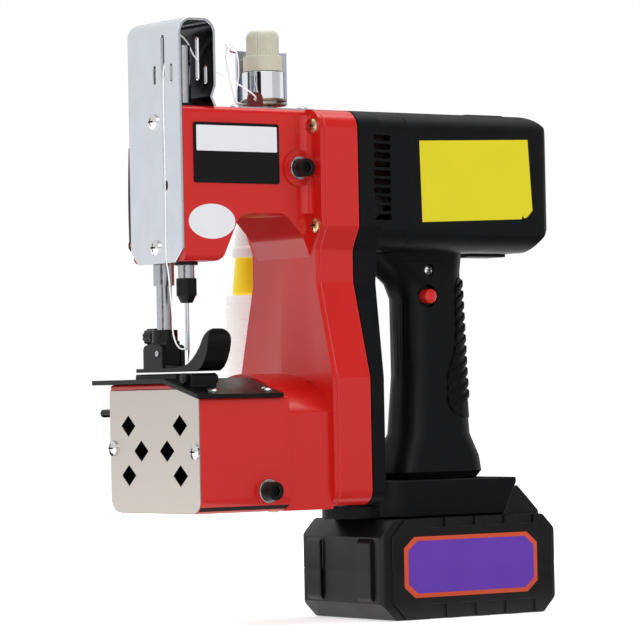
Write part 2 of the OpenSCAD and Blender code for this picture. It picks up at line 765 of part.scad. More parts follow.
panel_screw_y = -grip_d / 2 + 0.6;
button_front = -grip_d / 2 - 4.2;
module start_button() {
  back = switch_y[0] - button_travel - slide_gap;
  color("#c8281f") intersection() {
    rod_y(button_x, button_front, back, button_d / 2, button_z);
    translate([button_x, button_front + button_d, button_z]) sphere(button_d);
  }
}
module switch_body() {
  color("#3a3a3e") difference() {
    block(switch_x, switch_y, switch_z);
    rod_y(button_x, switch_y[0] - 1, switch_y[0] + 3, button_d / 2 + 1, button_z);
  }
}

// Battery shoe with the T slot that takes the battery's rail
shoe_x = -55;
rail_neck = 36;
rail_head = 44;
rail_neck_z = shoe_z + 6.4;
rail_head_z = shoe_z + 15.2;
rail_end = shoe_x + 11;
shoe_lean = 0.575;
module shoe_hook_outline(x, z0, z1) {
  tip = x + shoe_lean * (z1 - z0 - 3);
  polygon([[shoe_x - 1, z0], [x, z0], [tip, z1 - 3], [tip, z1], [shoe_x - 1, z1]]);
}
shoe_toe = shoe_x + shoe_len - 10;
// Low nose of the shoe under the column
nose_x = -71.3;
nose_half = 19;
nose_top = base_z - 0.6;
module battery_shoe() {
  color(black) difference() {
    union() {
      intersection() {
        along_y(-shoe_w / 2, shoe_w) shoe_hook_outline(shoe_toe, shoe_z, shoe_top);
        translate([0, 0, shoe_z - 1]) linear_extrude(shoe_h + 2) union() {
          round_rect([shoe_x, -shoe_w / 2], [shoe_x + shoe_len + 5, shoe_w / 2], 22);
          translate([shoe_x + shoe_len / 2, -shoe_w / 2]) square([shoe_len, shoe_w]);
        }
      }
      translate([0, 0, shoe_z]) linear_extrude(nose_top - shoe_z)
        round_rect([nose_x, -nose_half], [shoe_x + 30, nose_half], nose_half - 0.2);
    }
    block([rail_end, 80], [-rail_neck / 2 - slide_gap, rail_neck / 2 + slide_gap], [shoe_z - 1,
      rail_neck_z + 1]);
    block([rail_end, 80], [-rail_head / 2 - slide_gap, rail_head / 2 + slide_gap],
      [rail_neck_z, rail_head_z + slide_gap]);
  }
}

// Battery
panel_inset = 4;
// How far the end wall and its two grip ribs reach past the side panels, and the block's inset behind a panel
end_reach = 3.1;
rib_reach = 5.4;
block_inset = 1;
notch_w = 12;
notch_low = 8;
notch_high = 5;
notch_depth = 1.2;
hump_w = 50;
hump_top = shoe_top - 5;
notch_count = 4;
rib_w = 13;
module battery_side(half, chamfer) {
  polygon([
    [-half, chamfer], [-half + chamfer, 0], [half - chamfer, 0], [half, chamfer],
    [half, battery_h - chamfer], [half - chamfer, battery_h], [-half + chamfer, battery_h], [-half,
      battery_h - chamfer]
  ]);
}
hump_foot = shoe_toe + 0.8;
hump_tip = hump_foot + shoe_lean * (hump_top - shoe_z);
module hump_outline(grow) {
  polygon([
    [hump_foot, battery_h - 1], [hump_tip, hump_top], [hump_tip + 3, hump_top + grow],
    [battery_len / 2 - 2.5 + grow, battery_h + 2], [battery_len / 2 - 1, battery_h - battery_chamfer],
    [hump_foot, battery_h - battery_chamfer]
  ]);
}
latch_x = [hump_tip + 3.5, hump_tip + 11.5];
latch_half = 10;
latch_floor = battery_h - 8;
latch_travel = 2.5;
module battery_case() {
  half = battery_len / 2;
  color("#202023") difference() {
    union() {
      battery_block();
      along_y(-battery_w / 2, battery_w) battery_side(half - panel_inset, battery_chamfer);
      for (s = [-1, 1]) intersection() {
        block([-half - rib_reach, -half + 6], [s * 23.5 - rib_w / 2, s * 23.5 + rib_w / 2], [0, battery_h]);
        along_y(-battery_w / 2, battery_w) battery_side(half + rib_reach, battery_chamfer + 3);
      }
      along_y(-hump_w / 2, hump_w) hump_outline(0);
      block([rail_end + 1, hump_foot + 1], [-rail_neck / 2, rail_neck / 2], [battery_h - 1, rail_head_z]);
      block([rail_end + 1, hump_foot + 1], [-rail_head / 2, rail_head / 2], [rail_neck_z + slide_gap,
        rail_head_z]);
    }
    cell_bay();
    for (i = [0:notch_count - 1], s = [-1, 1], z = [[-1, notch_low], [battery_h - notch_high,
      battery_h + 1]])
      translate([(i - (notch_count - 1) / 2) * 21 + 6, 0, 0])
        block([-notch_w / 2, notch_w / 2], s < 0 ? [-battery_w / 2 - 1, -battery_w / 2 + notch_depth]
          : [battery_w / 2 - notch_depth, battery_w / 2 + 1], z);
    block([latch_x[0] - slide_gap, latch_x[1] + slide_gap], [-latch_half - slide_gap,
      latch_half + slide_gap],
      [latch_floor, 90]);
  }
}
module battery_block() {
  half = battery_len / 2;
  low = -half - end_reach;
  side = battery_w / 2 - block_inset;
  middle = (half + low) / 2;
  intersection() {
    along_y(-side, 2 * side) translate([middle, 0]) battery_side(half - middle, battery_chamfer);
    linear_extrude(battery_h) round_rect([low, -side], [half, side], 3);
  }
}
cell_len = 65;
cell_rows = 2;
cell_cols = 5;
cell_pitch = cell_d + 0.3;
bay_z = 4;
module cell_bay() {
  bay = cell_cols * cell_pitch / 2 + 0.3;
  block([-bay, bay], [-cell_len / 2 - 0.3, cell_len / 2 + 0.3], [bay_z,
    bay_z + cell_rows * cell_pitch + 0.6]);
}
module battery_cells() {
  color("#3c6fae") for (i = [0:cell_cols - 1], j = [0:cell_rows - 1])
    rod_y((i - (cell_cols - 1) / 2) * cell_pitch, -cell_len / 2, cell_len / 2, cell_d / 2,
      bay_z + 0.3 + (j + 0.5) * cell_pitch);
}
module latch_button() {
  color("#2c2c30") intersection() {
    block(latch_x, [-latch_half, latch_half], [latch_floor + latch_travel + slide_gap, hump_top + 10]);
    along_y(-latch_half, 2 * latch_half) hump_outline(1.6);
  }
}

// Needle cover: one bent sheet over the end of the arm
needle_cover_screw_spots = [[0.3, arm_top - 7.5], [0.3, arm_low + 8]];
cover_depth = 23.8;
cover_bend = 8;
groove_w = 2.2;
cover_slots = [[0, 15, 38.5, 3.3], [8, 12.5, 22.5, 2.6], [-8, 12.5, 22.5, 2.6]];
module bent_sheet(inset) {
  x0 = arm_x - sheet_t + inset;
  x1 = arm_x - sheet_t + cover_depth - inset;
  top = arm_top + cover_rise - inset;
  r = cover_bend - inset;
  polygon(concat(
    [[x0, arm_low - 10]], arc([x0 + r, top - r], r, 180, 90), arc([x1 - r, top - r], r, 90, 0),
    [[x1, arm_top + 11], [x1 - 2.4, arm_top + 5], [x1, arm_top]],
    inset > 0 ? [[x1 - 6, arm_top - 1], [x1 - 6, arm_low - 10]] : [[arm_x, arm_top], [arm_x, arm_low - 10]]
  ));
}
module needle_cover() {
  low = arm_low - 0.6;
  corner = 7;
  color(chrome) difference() {
    along_y(-arm_half, 2 * arm_half) difference() {
      bent_sheet(0);
      bent_sheet(sheet_t);
      translate([arm_x - 5, low - 20]) square([40, 20]);
    }
    for (s = [-1, 1]) translate([arm_x - 5, s * arm_half, low]) rotate([45, 0, 0])
      translate([0, -corner / sqrt(2), -corner / sqrt(2)]) cube([10, corner * sqrt(2), corner * sqrt(2)]);
    for (c = cover_slots) along_x(arm_x - 5, 40) slot(groove_y + c[0], arm_top + c[1], arm_top + c[2],
      c[3]);
    along_x(arm_x - sheet_t - 1, 1 + sheet_t / 2) slot(groove_y, low - 5, arm_top + 18, groove_w);
    along_x(arm_x - sheet_t - 1, sheet_t + 2) slot(groove_y - 0.9, main_z - 12.4, main_z - 6.8, 4);
    for (s = needle_cover_screw_spots) rod_x(arm_x - 5, arm_x + 1, pan_shank_r + seat_gap, s[0], s[1]);
  }
}

looper_cover_t = 0.9;
looper_cover_screw_spots = [[base_half - 3.6, base_z + 35], [-base_half + 3.6, base_z + 33]];
diamond_half = [7, 5.8];
diamonds = [[25.2, 47], [-25.2, 47], [12.6, 33.5], [-12.6, 33.5], [25.2, 20.3], [-25.2, 20.3]];
module looper_cover() {
  color("#d8d3c8") along_x(base_x - looper_cover_t, looper_cover_t) difference() {
    intersection() {
      base_outline(0.2, 8);
      translate([-base_half, 0]) square([2 * base_half, base_top - 3.2]);
    }
    for (d = diamonds) translate([d[0], base_z + d[1]])
      polygon([[diamond_half[0], 0], [0, diamond_half[1]], [-diamond_half[0], 0], [0, -diamond_half[1]]]);
    for (s = looper_cover_screw_spots) translate(s) circle(pan_shank_r + seat_gap);
  }
}
module cover_screws() {
  color(steel) {
    for (s = needle_cover_screw_spots) translate([arm_x - sheet_t, s[0], s[1]])
      pan_screw(pan_r, pan_h, pan_shank_r, sheet_t + boss_depth - slide_gap);
    for (s = looper_cover_screw_spots) translate([base_x - looper_cover_t, s[0], s[1]])
      pan_screw(pan_r, pan_h, pan_shank_r, pan_shank);
  }
}

// Bag guide plate: flat deck with a ramp towards the bag's entry
guide_screw_spots = [[base_x + 11.4, -39.2], [base_x + 46.2, -39.2]];
ramp_angle = atan(ramp_slope);
function ramp_z(y) = guide_z + min(0, ramp_slope * (y - ramp_y));
module guide_screw_hole(p) {
  translate([p[0], p[1], ramp_z(p[1])]) rotate([ramp_angle, 0, 0])
    rod_z(0, 0, -small_shank - 1, 2, small_shank_r + seat_gap);
}
module bag_guide_plate() {
  color(black) difference() {
    along_x(guide_x, guide_len) polygon([
      [guide_back, base_top], [guide_back, guide_z], [ramp_y, guide_z], [guide_front, ramp_z(guide_front)],
      [guide_front, ramp_z(guide_front) - guide_t], [ramp_y, base_top]
    ]);
    block([feed_x - slide_gap, feed_x + feed_w + slide_gap],
      [feed_y - feed_travel - 1.4, feed_y + feed_len + feed_travel + slide_gap], [base_top - 1,
        guide_z + 1]);
    rod_z(needle_x, -needle_y, base_top - 4, guide_z + 2, needle_d / 2 + 1.6);
    for (p = guide_screw_spots) guide_screw_hole(p);
  }
}
strip_screw_x = [tension_x - 22, tension_x + 22.5];
module small_screws() {
  color(steel) {
    for (p = guide_screw_spots) translate([p[0], p[1], ramp_z(p[1])]) rotate([ramp_angle, 0, 0])
      rotate([0, 90, 0]) pan_screw(small_r, small_h, small_shank_r, small_shank);
    for (x = strip_screw_x) translate([x, strip_y, strip_z]) rotate([0, 90, 0])
      pan_screw(small_r, small_h, small_shank_r, small_shank);
    for (x = stand_screw_x) translate([x, foot_half + 2, stand_screw_z]) rotate([0, 0, -90])
      pan_screw(small_r, small_h, small_shank_r, small_shank);
    translate([panel_screw_spot[0], panel_screw_y, panel_screw_spot[1]]) rotate([0, 0, 90])
      pan_screw(small_r, small_h, small_shank_r, small_shank + 4);
  }
}
edge_x = [base_x + 2.4, base_x + 18.4];
edge_y = [-32.5, -22.5];
edge_bolt_y = (edge_y[0] + edge_y[1]) / 2;
edge_bolt_z = ramp_z(edge_bolt_y) + 3.5;
edge_nut = 5.5;
edge_bolt_r = 1.5;
module edge_guide_block() {
  color(black) difference() {
    along_x(edge_x[0], edge_x[1] - edge_x[0]) polygon([
      [edge_y[0], ramp_z(edge_y[0])], [edge_y[1], ramp_z(edge_y[1])], [edge_y[1], edge_bolt_z + 2],
      [edge_y[1] - 1, edge_bolt_z + 3], [edge_y[0] + 1, edge_bolt_z + 3], [edge_y[0], edge_bolt_z + 2]
    ]);
    rod_x(edge_x[0] - 1, edge_x[1] + 1, edge_bolt_r + seat_gap, edge_bolt_y, edge_bolt_z);
  }
}
module edge_guide_bolt() {
  color("#3a3a3c") {
    rod_x(edge_x[0] - 3, edge_x[1] + 1, edge_bolt_r, edge_bolt_y, edge_bolt_z);
    hex_x(edge_x[0] - 2.6, edge_x[0], edge_nut, edge_bolt_y, edge_bolt_z);
    hex_x(edge_x[1], edge_x[1] + 2.8, edge_nut, edge_bolt_y, edge_bolt_z);
  }
}
bottom_screw_spots = [for (s = [-1, 1], p = [[block_end + 5, base_z], [cover_back - 12,
  column_z]]) [p[0], s * 20, p[1]]];
bottom_t = 1.4;
module brass_screws() {
  color(brass) {
    for (p = flange_screw_spots) translate(p) pan_screw(brass_r, brass_h, pan_shank_r, pan_shank);
    for (p = bottom_screw_spots) translate(p) rotate([0, -90, 0])
      pan_screw(brass_r - 0.6, 1.4, pan_shank_r, pan_shank);
  }
}
module cap_screw(p, top_y) {
  difference() {
    union() {
      rod_y(p[0], top_y - cap_head_h, top_y, cap_head_r, p[2]);
      rod_y(p[0], top_y - eps, top_y + 9, cap_shank_r, p[2]);
    }
    translate([p[0], top_y - cap_head_h + 3, p[2]]) rotate([90, 0, 0]) cylinder(h = 10, d = 5 / cos(30),
      $fn = 6);
  }
}
module cap_screws() {
  color("#17171a") {
    for (p = [upper_cap, lower_cap]) cap_screw(p, p[1] - washer_t);
    rod_y(stop_screw[0], base_half, base_half + stop_len, stop_r, stop_screw[2]);
    rod_y(stop_screw[0], base_half - 4, base_half + 1, stop_shank_r, stop_screw[2]);
  }
}
module cap_washers() {
  color(steel) for (p = [upper_cap, lower_cap]) difference() {
    rod_y(p[0], p[1] - washer_t, p[1], washer_r, p[2]);
    rod_y(p[0], p[1] - washer_t - 1, p[1] + 1, cap_shank_r + seat_gap, p[2]);
  }
}
// Cover plate let into the underside of the foot
module bottom_plate(grow) {
  translate([0, 0, base_z - grow]) linear_extrude(bottom_t + grow)
    round_rect([block_end - 8 - grow, -foot_half + 10 - grow], [flange_x - 4 + grow,
      foot_half - 10 + grow], 5);
}
module bottom_cover() {
  color("#2a2a2c") difference() {
    bottom_plate(0);
    for (p = bottom_screw_spots) rod_z(p[0], p[1], base_z - 5, base_z + 5, pan_shank_r + seat_gap);
  }
}

// Sewing head
module guide_bush(z0, z1, flange_z, flange_r, r) {
  difference() {
    union() {
      rod_z(needle_x, -needle_y, z0, z1, r);
      rod_z(needle_x, -needle_y, flange_z, flange_z + 1.8, flange_r);
    }
    rod_z(needle_x, -needle_y, z0 - 5, z1 + 5, bar_d / 2 + run_gap);
  }
}
module needle_bar_bushings() {
  color(black) {
    guide_bush(arm_low - 1.8, arm_low + 7, arm_low - 1.8, 6.4, lower_guide_r);
    guide_bush(arm_top - wall, arm_top + 1.8, arm_top, 7.2, upper_guide_r);
  }
}
module presser_bar_sleeve() {
  color("#77797c") difference() {
    rod_z(needle_x, presser_y, arm_low - 12, arm_low + 8, sleeve_r);
    rod_z(needle_x, presser_y, arm_low - 13, arm_low + 9, presser_d / 2 + run_gap);
  }
}
lifter_tip = arm_low + 64;
lifter_t = 2.6;
lifter_bow = 0.8;
module presser_lifter() {
  reach = lifter_tip - lifter_z;
  inner = lifter_y - 0.4;
  color("#202022") difference() {
    union() {
      rod_x(lifter_x, lifter_x + lifter_w, lifter_r, lifter_y, lifter_z);
      along_x(lifter_x, lifter_w) polygon(concat(
        [for (t = [0:0.125:1]) [inner + lifter_bow * sin(180 * t), lifter_z + t * reach]],
        [for (t = [1:-0.125:0]) [inner + lifter_t * (1 - 0.4 * t) + lifter_bow * sin(180 * t),
          lifter_z + t * reach]]
      ));
    }
    rod_x(lifter_x - 1, lifter_x + lifter_w + 1, lifter_pin_r + run_gap, lifter_y, lifter_z);
  }
}
module needle_bar() {
  block_z = [small_end_z - 6, small_end_z + 6];
  color(steel) {
    difference() {
      rod_z(needle_x, -needle_y, arm_low - 14, arm_top + 33, bar_d / 2);
      rod_z(needle_x, -needle_y, arm_low - 15, arm_low - 8, bar_d / 2 - 1);
    }
    difference() {
      union() {
        block([needle_x - 6, needle_x + 6], [-needle_y - 6.4, 3], block_z);
        rod_x(needle_x + 5, needle_x + 7.6, crank_pin_r, 0, small_end_z);
      }
      rod_z(needle_x, -needle_y, block_z[0] - 1, block_z[1] + 1, bar_d / 2 + seat_gap);
    }
  }
}
module needle_clamp() {
  color("#1a1a1c") difference() {
    union() {
      translate([needle_x, -needle_y, clamp_nut_z]) cylinder(h = 9.4, d = 10.6 / cos(30), $fn = 6);
      translate([needle_x, -needle_y, clamp_nut_z - 3.8]) cylinder(h = 3.8, r1 = 3.2, r2 = 5);
    }
    rod_z(needle_x, -needle_y, clamp_nut_z + 4.2, clamp_nut_z + 11, bar_d / 2 + seat_gap);
    rod_z(needle_x, -needle_y, clamp_nut_z - 5, clamp_nut_z + 6, needle_d / 2 + seat_gap);
  }
}
module needle() {
  color(chrome) difference() {
    union() {
      rod_z(needle_x, -needle_y, needle_tip + 6, clamp_nut_z + 4, needle_d / 2);
      translate([needle_x, -needle_y, needle_tip]) cylinder(h = 6, r1 = 0.25, r2 = needle_d / 2);
    }
    rod_x(needle_x - 3, needle_x + 3, 0.45, -needle_y, needle_tip + 7);
  }
}
module presser_bar() {
  color("#8b8d90") {
    rod_z(needle_x, presser_y, clamp_z - 0.6, arm_top - wall - foot_lift - 4, presser_d / 2);
    difference() {
      rod_z(needle_x, presser_y, main_z - 12, main_z - 8, 6.1);
      rod_z(needle_x, presser_y, main_z - 13, main_z - 7, presser_d / 2 + seat_gap);
    }
  }
}
spring_low = main_z - 8 + 0.9;
spring_high = arm_top - wall - 0.9;
module presser_spring() {
  wire = 1.1;
  color(steel) tube(
    helix([needle_x, presser_y], spring_low, spring_high, presser_d / 2 + 1.1, presser_d / 2 + 1.1, 9,
      8), wire / 2, 6);
}
module foot_clamp() {
  shank = [foot_x + ear_t + slide_gap, foot_x + foot_w - ear_t - slide_gap];
  color(black) difference() {
    union() {
      rod_z(needle_x, presser_y, clamp_z, clamp_z + clamp_h, clamp_r);
      block(shank, [pivot_y - 4, presser_y + 7], [sole_z + sole_t + 1.8, clamp_z + 1]);
    }
    rod_z(needle_x, presser_y, clamp_z - 0.6, clamp_z + clamp_h + 1, presser_d / 2 + seat_gap);
    rod_x(shank[0] - 1, shank[1] + 1, pivot_r + seat_gap, pivot_y, pivot_z);
    rod_y(needle_x, presser_y + 2, presser_y + 20, 2 + run_gap, clamp_z + clamp_h / 2);
  }
}
module thumb_screw() {
  y0 = presser_y + clamp_r + slide_gap;
  z = clamp_z + clamp_h / 2;
  color("#151517") difference() {
    union() {
      rod_y(needle_x, presser_y + presser_d / 2 + slide_gap, y0 + 1, 2, z);
      rod_y(needle_x, y0, y0 + 8, 4.6, z);
    }
    for (a = [0:30:330]) translate([needle_x, 0, z]) rotate([0, a, 0]) rod_y(4.9, y0 + 1.5, y0 + 10, 0.7,
      0);
  }
}
// Presser foot: flat sole, two ears and a toe that sweeps up towards the bag's entry
heel_y = 28;
toe_top = sole_z + 22.4;
toe_r = 6;
module foot_side() {
  polygon([
    [heel_y, sole_z], [heel_y, sole_z + sole_t], [-10, sole_z + sole_t], [-17, sole_z + sole_t + 0.6],
    [-22.5, sole_z + 3.8], [-27, sole_z + 6.2], [-31, sole_z + 9.4], [-34.5, sole_z + 13], [-37.6,
      sole_z + 17.4],
    [-39.4, sole_z + 21], [-40, toe_top], [-41.6, toe_top - 0.4], [-42.6, sole_z + 19], [-42.6,
      sole_z + 15],
    [-41.4, sole_z + 10.5], [-38.8, sole_z + 5.4], [-35.6, sole_z + 1.8], [-31.8, sole_z]
  ]);
}
module presser_foot() {
  color("#161618") difference() {
    union() {
      intersection() {
        along_x(foot_x, foot_w) foot_side();
        along_y(toe_y, heel_y - toe_y) round_rect([foot_x, sole_z - 2 * toe_r], [foot_x + foot_w,
          toe_top], toe_r);
      }
      for (x = [foot_x, foot_x + foot_w - ear_t]) along_x(x, ear_t)
        round_rect([pivot_y - 4.4, sole_z], [pivot_y + 14.6, pivot_z + 4.8], 3);
    }
    // Needle slot, ear gap and pivot hole
    block([needle_x - 4, needle_x + 4], [-needle_y - 6, pivot_y - 6], [sole_z - 1, sole_z + 30]);
    block([foot_x + ear_t, foot_x + foot_w - ear_t], [pivot_y - 16, heel_y + 1], [sole_z + sole_t,
      pivot_z + 20]);
    rod_x(foot_x - 1, foot_x + foot_w + 1, pivot_r + run_gap, pivot_y, pivot_z);
  }
}
toe_y = -47.5;
module foot_pin() {
  color(steel) rod_x(foot_x - 0.8, foot_x + foot_w + 0.8, pivot_r, pivot_y, pivot_z);
}
module feed_dog() {
  color("#4a4b4e") {
    along_x(feed_x, feed_w) polygon(concat(
      [[feed_y + feed_len, base_top - 6], [feed_y + feed_len, feed_top - tooth_h]],
      [for (i = [feed_len / tooth_pitch - 1:-1:0], k = [0, 1])
        [feed_y + i * tooth_pitch + (k == 0 ? tooth_pitch * 0.6 : 0),
          k == 0 ? feed_top : feed_top - tooth_h]],
      [[feed_y, base_top - 6]]
    ));
  }
}

// Thread tension stack and guides
module tension_strip() {
  color(chrome) difference() {
    translate([0, 0, arm_top]) linear_extrude(strip_t)
      round_rect([strip_screw_x[0] - 5, strip_y - 6.5], [strip_screw_x[1] + 5, strip_y + 9], 3);
    for (x = strip_screw_x) rod_z(x, strip_y, arm_top - 1, strip_z + 1, small_shank_r + seat_gap);
    rod_z(tension_x, tension_y, arm_top - 1, strip_z + 1, post_r + seat_gap);
  }
}
eyelet_y = [strip_y - 6.5, strip_y - 5.1];
module thread_eyelet() {
  color("#8a2420") difference() {
    along_y(eyelet_y[0], eyelet_y[1] - eyelet_y[0])
      round_rect([tension_x - 18, strip_z - 4], [tension_x - 8.4, strip_z + 8], 3.5);
    rod_y(strip_eye[0], eyelet_y[0] - 1, eyelet_y[1] + 1, 1.3, strip_eye[2]);
    block([tension_x - 30, tension_x], [eyelet_y[0] - 1, eyelet_y[1] + 1], [strip_z - 10, strip_z]);
  }
}
knob_z = cup_z + cup_h + slide_gap;
module tension_post() {
  color(steel) rod_z(tension_x, tension_y, arm_top - wall, knob_z + collar_h + 5, post_r);
}
module tension_disc(z) {
  difference() {
    rod_z(tension_x, tension_y, z, z + disc_t, disc_d / 2);
    rod_z(tension_x, tension_y, z - 1, z + disc_t + 1, post_r + seat_gap);
  }
}
module tension_discs() {
  color(chrome) {
    tension_disc(disc_z);
    tension_disc(disc_z + disc_t + disc_gap);
    difference() {
      rod_z(tension_x, tension_y, strip_z, disc_z, 5);
      rod_z(tension_x, tension_y, strip_z - 1, disc_z + 1, post_r + seat_gap);
    }
  }
}
module tension_cup() {
  color(chrome) difference() {
    rod_z(tension_x, tension_y, cup_z - 1, cup_z + cup_h, cup_d / 2);
    rod_z(tension_x, tension_y, cup_z + 0.6, cup_z + cup_h + 1, cup_d / 2 - 1.6);
    rod_z(tension_x, tension_y, cup_z - 2, cup_z + 2, post_r + seat_gap);
  }
}
module tension_spring() {
  wire = 1.2;
  r = post_r + 2.2;
  color(steel) tube(
    helix([tension_x, tension_y], cup_z + 0.6 + wire, cup_z + cup_h - wire, r, r, 5, 8), wire / 2, 6);
}
module tension_knob() {
  color(ivory) difference() {
    union() {
      rod_z(tension_x, tension_y, knob_z, knob_z + collar_h, knob_d / 2 + 1.7);
      rod_z(tension_x, tension_y, knob_z + collar_h - 1, knob_z + collar_h + knob_h, knob_d / 2);
    }
    rod_z(tension_x, tension_y, knob_z - 1, knob_z + collar_h + 7, post_r + run_gap);
    for (i = [0:knob_ribs - 1]) translate([tension_x, tension_y, 0]) rotate([0, 0, 360 * i / knob_ribs])
      rod_z(knob_d / 2 + 0.2, 0, knob_z + collar_h + 0.6, knob_z + collar_h + knob_h + 1, 0.8);
  }
}
bracket_x = [tension_x - 6.3, tension_x + 27.5];
bracket_foot = bracket_x[1] - 14;
bracket_t = 1.5;
bracket_lean = 40;
lip_h = 8;
module thread_guide_bracket() {
  bend_z = bracket_top - lip_h * cos(bracket_lean);
  color(chrome) difference() {
    union() {
      along_y(bracket_y, bracket_t) {
        translate([bracket_x[0], arm_top + 6]) square([bracket_x[1] - bracket_x[0],
          bend_z - arm_top - 5.6]);
        translate([bracket_x[0], arm_top]) square([bracket_foot - bracket_x[0], 14]);
      }
      block([bracket_x[0], bracket_foot], [bracket_y, bracket_y + 9], [arm_top, arm_top + bracket_t]);
      // Lip leaning back, with the ear that leads the thread
      translate([0, bracket_y, bend_z]) rotate([-bracket_lean, 0, 0]) along_y(0, bracket_t)
        round_rect([bracket_x[0] - ear_len, 0], [bracket_x[1], lip_h], 3);
    }
    rod_y(ear_eye[0], bracket_y - 5, bracket_y + 20, 1.4, ear_eye[2]);
  }
}

// Spool stand behind the column
stand_screw_z = tray_z - 8;
stand_screw_x = [spool_x - 8, spool_x];
module spool_bracket() {
  color("#26272a") difference() {
    union() {
      along_y(foot_half, 2) round_rect([spool_x - 12, tray_z - 16], [spool_x + 4, tray_z + 3], 3);
      block([spool_x - 10, spool_x + 4], [foot_half, spool_y - 8], [tray_z, tray_z + tray_t]);
      rod_z(spool_x, spool_y, tray_z, tray_z + tray_t, tray_r);
      rod_z(spool_x, spool_y, tray_z, tube_top + 2, spindle_r);
    }
    for (x = stand_screw_x) rod_y(x, foot_half - 1, foot_half + 3, small_shank_r + seat_gap, stand_screw_z);
  }
}
module ring_profile(points) {
  translate([spool_x, spool_y, 0]) rotate_extrude() polygon(points);
}
tube_low_r = 9.5;
tube_nose_r = 11.4;
module spool_tube() {
  color("#e8c814") ring_profile([
    [spindle_r + 0.3, tray_z + tray_t], [tube_low_r + 3, tray_z + tray_t], [tube_low_r + 3,
      tray_z + tray_t + 2],
    [tube_low_r, tray_z + tray_t + 2], [tube_low_r, wind_top], [tube_nose_r, wind_top + 0.4],
    [tube_nose_r, wind_top + 2],
    [tube_top_r, tube_top], [spindle_r + 0.3, tube_top]
  ]);
}
function wind_r(z) = spool_r + (wind_top_r - spool_r) * (z - wind_z) / (wind_top - wind_z);
wind_path = helix([spool_x, spool_y], wind_z + strand_d, wind_top - strand_d,
  wind_r(wind_z + strand_d) - strand_d / 2, wind_r(wind_top - strand_d) - strand_d / 2, spool_turns, 24);
wind_step = norm(wind_path[24] - wind_path[0]);
echo(strand_gap = wind_step - strand_d);
module thread_winding() {
  skin = strand_d + 0.15;
  color("#f2f1ec") {
    ring_profile([
      [tube_low_r + 0.1, wind_z], [wind_r(wind_z) - skin, wind_z], [wind_r(wind_top) - skin, wind_top],
      [tube_low_r + 0.1, wind_top]
    ]);
    tube(wind_path, strand_d / 2, 6);
  }
}
module spool_cap() {
  color(ivory) ring_profile([
    [tube_top_r - 3, tube_top], [tube_top_r + 1.8, tube_top], [tube_top_r + 1.8, tube_top + 5],
    [tube_top_r + 0.6, tube_top + 6.5],
    [tube_top_r - 0.6, tube_top + cap_h - 4], [tube_top_r - 3, tube_top + cap_h], [0, tube_top + cap_h],
    [0, tube_top + cap_h - 2], [tube_top_r - 4, tube_top + cap_h - 2]
  ]);
}
module needle_thread() {
  color("#f4f3ee") tube(thread_route, thread_r, 8);
}

// Drive train
module main_shaft() {
  color(steel) {
    rod_x(crank_x + crank_t - eps, cover_back + 8, shaft_d / 2, 0, main_z);
    rod_x(crank_x, crank_x + crank_t, crank_r + 5, 0, main_z);
    rod_x(rod_x + 0.1, crank_x + eps, crank_pin_r, 0, pin_z);
  }
}
module shaft_bearing(x, z) {
  difference() {
    rod_x(x, x + bearing_w, bearing_d / 2, 0, z);
    rod_x(x - 1, x + bearing_w + 1, shaft_d / 2 + run_gap, 0, z);
  }
}
module shaft_bearings() {
  color(steel) {
    for (x = upper_webs) shaft_bearing(x, main_z);
    for (x = lower_webs) shaft_bearing(x, lower_z);
  }
}
module connecting_rod() {
  color("#8f9296") difference() {
    union() {
      rod_x(rod_x, rod_x + rod_t, 8, 0, pin_z);
      rod_x(rod_x, rod_x + rod_t, 6, 0, small_end_z);
      block([rod_x + 0.6, rod_x + rod_t - 0.6], [-3.5, 3.5], [small_end_z, pin_z]);
    }
    rod_x(rod_x - 1, rod_x + rod_t + 1, crank_pin_r + run_gap, 0, pin_z);
    rod_x(rod_x - 1, rod_x + rod_t + 1, crank_pin_r + run_gap, 0, small_end_z);
  }
}
pulley_x = cover_front + 3;
pulley_w = 12;
pulley_r = 14;
pulley_rim = 17;
module pulley(z) {
  color("#5a5c60") difference() {
    union() {
      rod_x(pulley_x, pulley_x + pulley_w, pulley_r, 0, z);
      for (x = [pulley_x, pulley_x + pulley_w - 1]) rod_x(x, x + 1, pulley_rim, 0, z);
    }
    rod_x(pulley_x - 1, pulley_x + pulley_w + 1, shaft_d / 2 + seat_gap, 0, z);
  }
}
module upper_pulley() {
  pulley(main_z);
}
module lower_pulley() {
  pulley(lower_z);
}
module belt_loop(r) {
  translate([-r, lower_z]) square([2 * r, main_z - lower_z]);
  for (z = [lower_z, main_z]) translate([0, z]) circle(r);
}
module timing_belt() {
  color("#141416") along_x(pulley_x + 1.6, pulley_w - 3.2) difference() {
    belt_loop(pulley_r + 2.3);
    belt_loop(pulley_r + 0.3);
  }
}
module lower_shaft() {
  x0 = block_end - 2 * wall - 10;
  color(steel) {
    rod_x(x0, pulley_x + pulley_w + 3, shaft_d / 2, 0, lower_z);
    rod_x(x0 - 5, x0 + eps, 9, -3, lower_z);
  }
}
